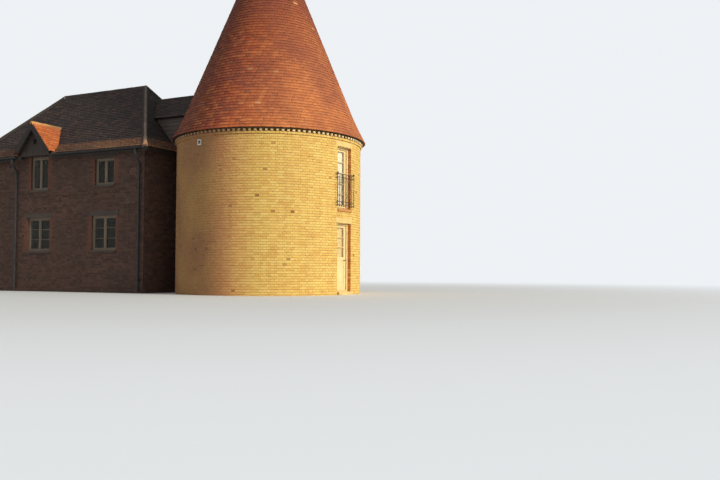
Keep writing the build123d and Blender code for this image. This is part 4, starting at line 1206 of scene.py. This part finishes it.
door_paint = ((0.84, 0.66, 0.33), (0.62, 0.42, 0.19), (1, 1, 0.05), 0.35)
pale_joinery = timber_finish("pale_joinery", *door_paint)
dress(pale_joinery, "tall_window_frame", "tall_window_leaf")
dress(glass_finish("kiln_glass", (0.88, 0.88, 0.84), (0.78, 0.78, 0.73)), "door_glass", "tall_window_glass")
dress(timber_finish("door_joinery", *door_paint, furniture), "door_leaf", "door_frame")
for name, body, pane_half, low, high, panes in (
        ("door_glazing_bars", "door", 0.205, 1.13, 2.015, 3),
        ("tall_window_bars", "building", 0.21, 2.7, 4.31, 5)):
    levels = low + (high - low) * np.arange(1, panes) / panes
    bars = [((leaf_back + 0.0225, 0, level), (0.017, pane_half, 0.011)) for level in levels]
    solid_blocks(name, bars, doorway, pale_joinery, body, chamfer=0.006)
door_panel = [((leaf_front - 0.012, 0, 0.68), (0.008, 0.16, 0.31))]
solid_blocks("door_raised_panel", door_panel, doorway, pale_joinery, "door", chamfer=0.006)


cloth_across, cloth_down = 24, 60


def blind(name, body, half, low, high, colour, roller):
    """Linen blind hung from a roller: across it u, down it v, with a faint wave of 2 mm in its depth."""
    grid = np.meshgrid(np.linspace(-half, half, cloth_across), np.linspace(low, high, cloth_down))
    u, v = (axis.ravel() for axis in grid)
    depth = blind_depth + 0.002 * np.sin(7 * v + 3 * u / half)
    at = np.arange(cloth_down - 1)[:, None] * cloth_across + np.arange(cloth_across - 1)
    faces = np.stack([at, at + 1, at + cloth_across + 1, at + cloth_across], -1)
    cloth, tree, shader = finish_of(name, 0.9, Specular_IOR_Level=0.1)
    weave = use(tree, grain, colour, tuple(0.8 * np.array(colour)), 0.3, (6, 6, 1))
    coat(tree, shader, *weave, 0.0008)
    made = piece(name, doorway(depth, u, v), faces, cloth, body, smooth=True)
    made.modifiers.new("cloth", "SOLIDIFY").thickness = 0.0012
    rods = [((blind_depth, 0, high + 0.006), (0.012, half + 0.01, 0.012)),
            ((blind_depth, 0, low), (0.005, half, 0.012))]
    rod = solid_blocks(roller, rods, doorway, pale_joinery, body)


blind("tall_window_blind", "building", 0.225, 2.68, 4.34, (0.94, 0.82, 0.64), "tall_window_roller")
blind("door_blind", "door", 0.215, 1.115, 2.035, (0.80, 0.58, 0.26), "door_roller")
stone = stone_finish("pale_stone", (0.70, 0.52, 0.20), (0.54, 0.36, 0.13))
dress(stone, "door_lintel", "tall_window_lintel", "doorstep")
dress(stone_finish("brick_sill", (0.56, 0.27, 0.085), (0.34, 0.13, 0.05)), "tall_window_sill")

# Railing: square wrought-iron bars between level rails that run back to the wall beside the tall window,
# with a round knob at both ends. They are waxed black, and worn brown in patches.
wrought_iron = metal_finish("wrought_iron", (0.022, 0.018, 0.016), (0.09, 0.055, 0.035), 0.55, 0.4)
dress(wrought_iron, "railing")

# Vent on the kiln: a small cast box on the wall under the eaves, painted white and open at its mouth,
# with a slatted grille at its back in front of a plate, both near black; the plate is painted shade
# in the mouth.
vent_turn = math.radians(-101.5)
grille_half = 0.0385
white_metal = metal_finish("white_metal", (0.74, 0.72, 0.66), (0.42, 0.36, 0.28), 0.5)
dress(white_metal, "kiln_vent", "cowl_cap", "cowl_vane")
# painted shade: the near-black plate behind the slats fills the vent's mouth, standing in for shade
slats = [((2.924, 0, 4.44), (0.0015, grille_half, 0.051))]
slats += [((2.929, 0, 4.402 + 0.025 * k), (0.004, grille_half, 0.003)) for k in range(4)]
grille = metal_finish("vent_grille", (0.012, 0.012, 0.012), (0.03, 0.028, 0.025), 0.7)
solid_blocks("kiln_vent_grille", slats, turned(vent_turn), grille, chamfer=0.001)

# Cowl: a ring of tapered boards nailed to two hoops, painted white, open on the side away from the wind,
# over the timber kerb of the cone's throat.
cowl_foot, cowl_top = 10.633, 12.533
foot_radius, top_radius = 0.59, 0.19
open_low, open_high = cowl_foot + 0.16, cowl_foot + 1.45
cowl_gap = 0.0015
open_half = 55
hoop_low, hoop_high = cowl_foot + 0.07, cowl_top - 0.30


def cowl_radius(level):
    """Radius of the boards' outer face, which tapers evenly."""
    return np.interp(level, [cowl_foot, cowl_top], [foot_radius, top_radius])


def cowl_skin(angle, out, level):
    """Outer face of the cowl's boards."""
    radius = cowl_radius(level) + out
    return plain_axes(kiln_x + radius * np.cos(angle), radius * np.sin(angle), level)


def hoop(level, height):
    """Flat iron hoop round the boards."""
    angle = np.linspace(-math.pi, math.pi, 73)
    tops = (level + height, level + height)
    quads = [upright_board(a, b, level, tops) for a, b in zip(angle[:-1], angle[1:])]
    return raised(quads, 0.0, 0.004, cowl_skin, 0.0)


quads = []
for left in np.radians(np.arange(-175, 185, 10)):
    right = left + math.radians(10)
    spans = [(cowl_foot, cowl_top)]
    if abs(math.degrees(left + right) / 2) <= open_half:
        spans = [(cowl_foot, open_low), (open_high, cowl_top)]
    for low, high in spans:
        gaps = [float(cowl_gap / cowl_radius(z)) for z in (low, high)]
        quads.append([(left + gaps[0], low), (right - gaps[0], low),
                      (right - gaps[1], high), (left + gaps[1], high)])
white_boards = timber_finish("white_boarding", (0.72, 0.70, 0.64), (0.46, 0.42, 0.36), (1, 1, 0.05), 0.4)
cowl_boards = raised(quads, -0.03, 0.0, cowl_skin, 0.003, closed=True)
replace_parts(joined("cowl_boards", [cowl_boards], white_boards), "cowl")
kerb_timber = timber_finish("kerb_timber", (0.20, 0.15, 0.11), (0.09, 0.07, 0.055), (1, 1, 0.2), 0.7)
dress(kerb_timber, "kiln_roof_kerb")
joined("cowl_hoops", [hoop(hoop_low, 0.04), hoop(hoop_high, 0.035)], wrought_iron)

# Floors: plain grey slabs on the ground, and upper floors of brown boards laid along the building. The
# photograph shows neither, so their finishes are plain.
slab = stone_finish("floor_slab", (0.34, 0.30, 0.25), (0.20, 0.17, 0.14))
dress(slab, "kiln_ground_floor", "wing_ground_floor")
floor_boards = timber_finish("floor_boards", (0.24, 0.16, 0.10), (0.11, 0.075, 0.05), (0.05, 1, 1), 0.7)
dress(floor_boards, "kiln_upper_floor", "wing_upper_floor")

# The view: a pale floor and plain light, brightest from the right as in the photograph, and a camera at
# the photograph's place and height, 38.5 mm on a 36 mm frame.
backdrop = {"Color": (0.90, 0.93, 0.96), "Strength": 0.95}
floor_reach = 150


def seen_by(tree):
    """True for what the camera sees, directly, in a gloss or through glass."""
    rays = node(tree, "LightPath").outputs
    mirrored = maths(tree, "MAXIMUM", rays["Is Glossy Ray"], rays["Is Transmission Ray"])
    return maths(tree, "MAXIMUM", rays["Is Camera Ray"], mirrored)


floor_material, tree, shader = finish_of("studio_floor", 0.9)
shader["Base Color"].default_value = (0.72, 0.72, 0.70, 1)
spot = node(tree, "TexCoord").outputs["Object"]
far = node(tree, "VectorMath", {0: spot}, operation="LENGTH").outputs["Value"]
fading = ease(tree, far, 9.0, 34.0)
fading.node.interpolation_type = "SMOOTHSTEP"
glow = node(tree, "Emission", backdrop).outputs[0]
floor_end = node(tree, "MixShader", {
    0: times(tree, fading, seen_by(tree)), 1: tree.nodes["Principled BSDF"].outputs[0], 2: glow})
feed(tree, tree.nodes["Material Output"].inputs, {"Surface": floor_end.outputs[0]})
floor_mesh = bpy.data.meshes.new("studio_floor")
floor_corners = [(floor_reach * x, floor_reach * y, 0) for x, y in ((-1, -1), (1, -1), (1, 1), (-1, 1))]
floor_mesh.from_pydata(floor_corners, [], [(0, 1, 2, 3)])
floor_mesh.materials.append(floor_material)
placed("studio_floor", floor_mesh)
world = bpy.data.worlds.new("studio")
bpy.context.scene.world = world
world.use_nodes = True
tree = world.node_tree
tree.nodes.clear()
sky = node(tree, "Background", {"Color": (0.82, 0.90, 1.0), "Strength": 0.40}).outputs[0]
glow = node(tree, "Background", backdrop).outputs[0]
both = node(tree, "MixShader", {0: seen_by(tree), 1: sky, 2: glow})
tree.links.new(both.outputs[0], tree.nodes.new("ShaderNodeOutputWorld").inputs[0])


def aim(made, right, up, back, spot=(0, 0, 0)):
    """Puts an object at the spot with its own axes along right, up and back."""
    turn = Matrix(np.stack([right, up, back], 1).tolist()).to_4x4()
    turn.translation = spot
    made.matrix_world = turn


def lamp(name, toward, strength, colour, angle):
    """Broad lamp at a distance, shining along toward."""
    data = bpy.data.lights.new(name, "SUN")
    data.energy = strength
    data.color = colour
    data.angle = math.radians(angle)
    back = -np.array(toward, float) / np.linalg.norm(toward)
    right = np.cross((0, 0, 1), back)
    right /= np.linalg.norm(right)
    aim(placed(name, data), right, np.cross(back, right), back)


lamp("key", (-0.95, 0.08, -0.38), 3.5, (1.0, 0.94, 0.83), 8)
lamp("fill", (0.25, 0.85, -0.55), 0.12, (0.92, 0.96, 1.0), 60)
yaw, pitch, roll = 0.45108, 0.04112, 0.003
ahead = np.array([-math.sin(yaw) * math.cos(pitch), math.cos(yaw) * math.cos(pitch), math.sin(pitch)])
level_right = np.array([math.cos(yaw), math.sin(yaw), 0.0])
level_up = np.cross(level_right, ahead)
camera_data = bpy.data.cameras.new("camera")
camera_data.sensor_width = 36
camera_data.lens = 38.5
camera_data.clip_end = 400
camera = placed("camera", camera_data)
right = level_right * math.cos(roll) + level_up * math.sin(roll)
up = level_up * math.cos(roll) - level_right * math.sin(roll)
aim(camera, right, up, -ahead, (17.5057, -20.8577, 0.693))
bpy.context.scene.camera = camera
bpy.context.scene.view_settings.view_transform = "Standard"
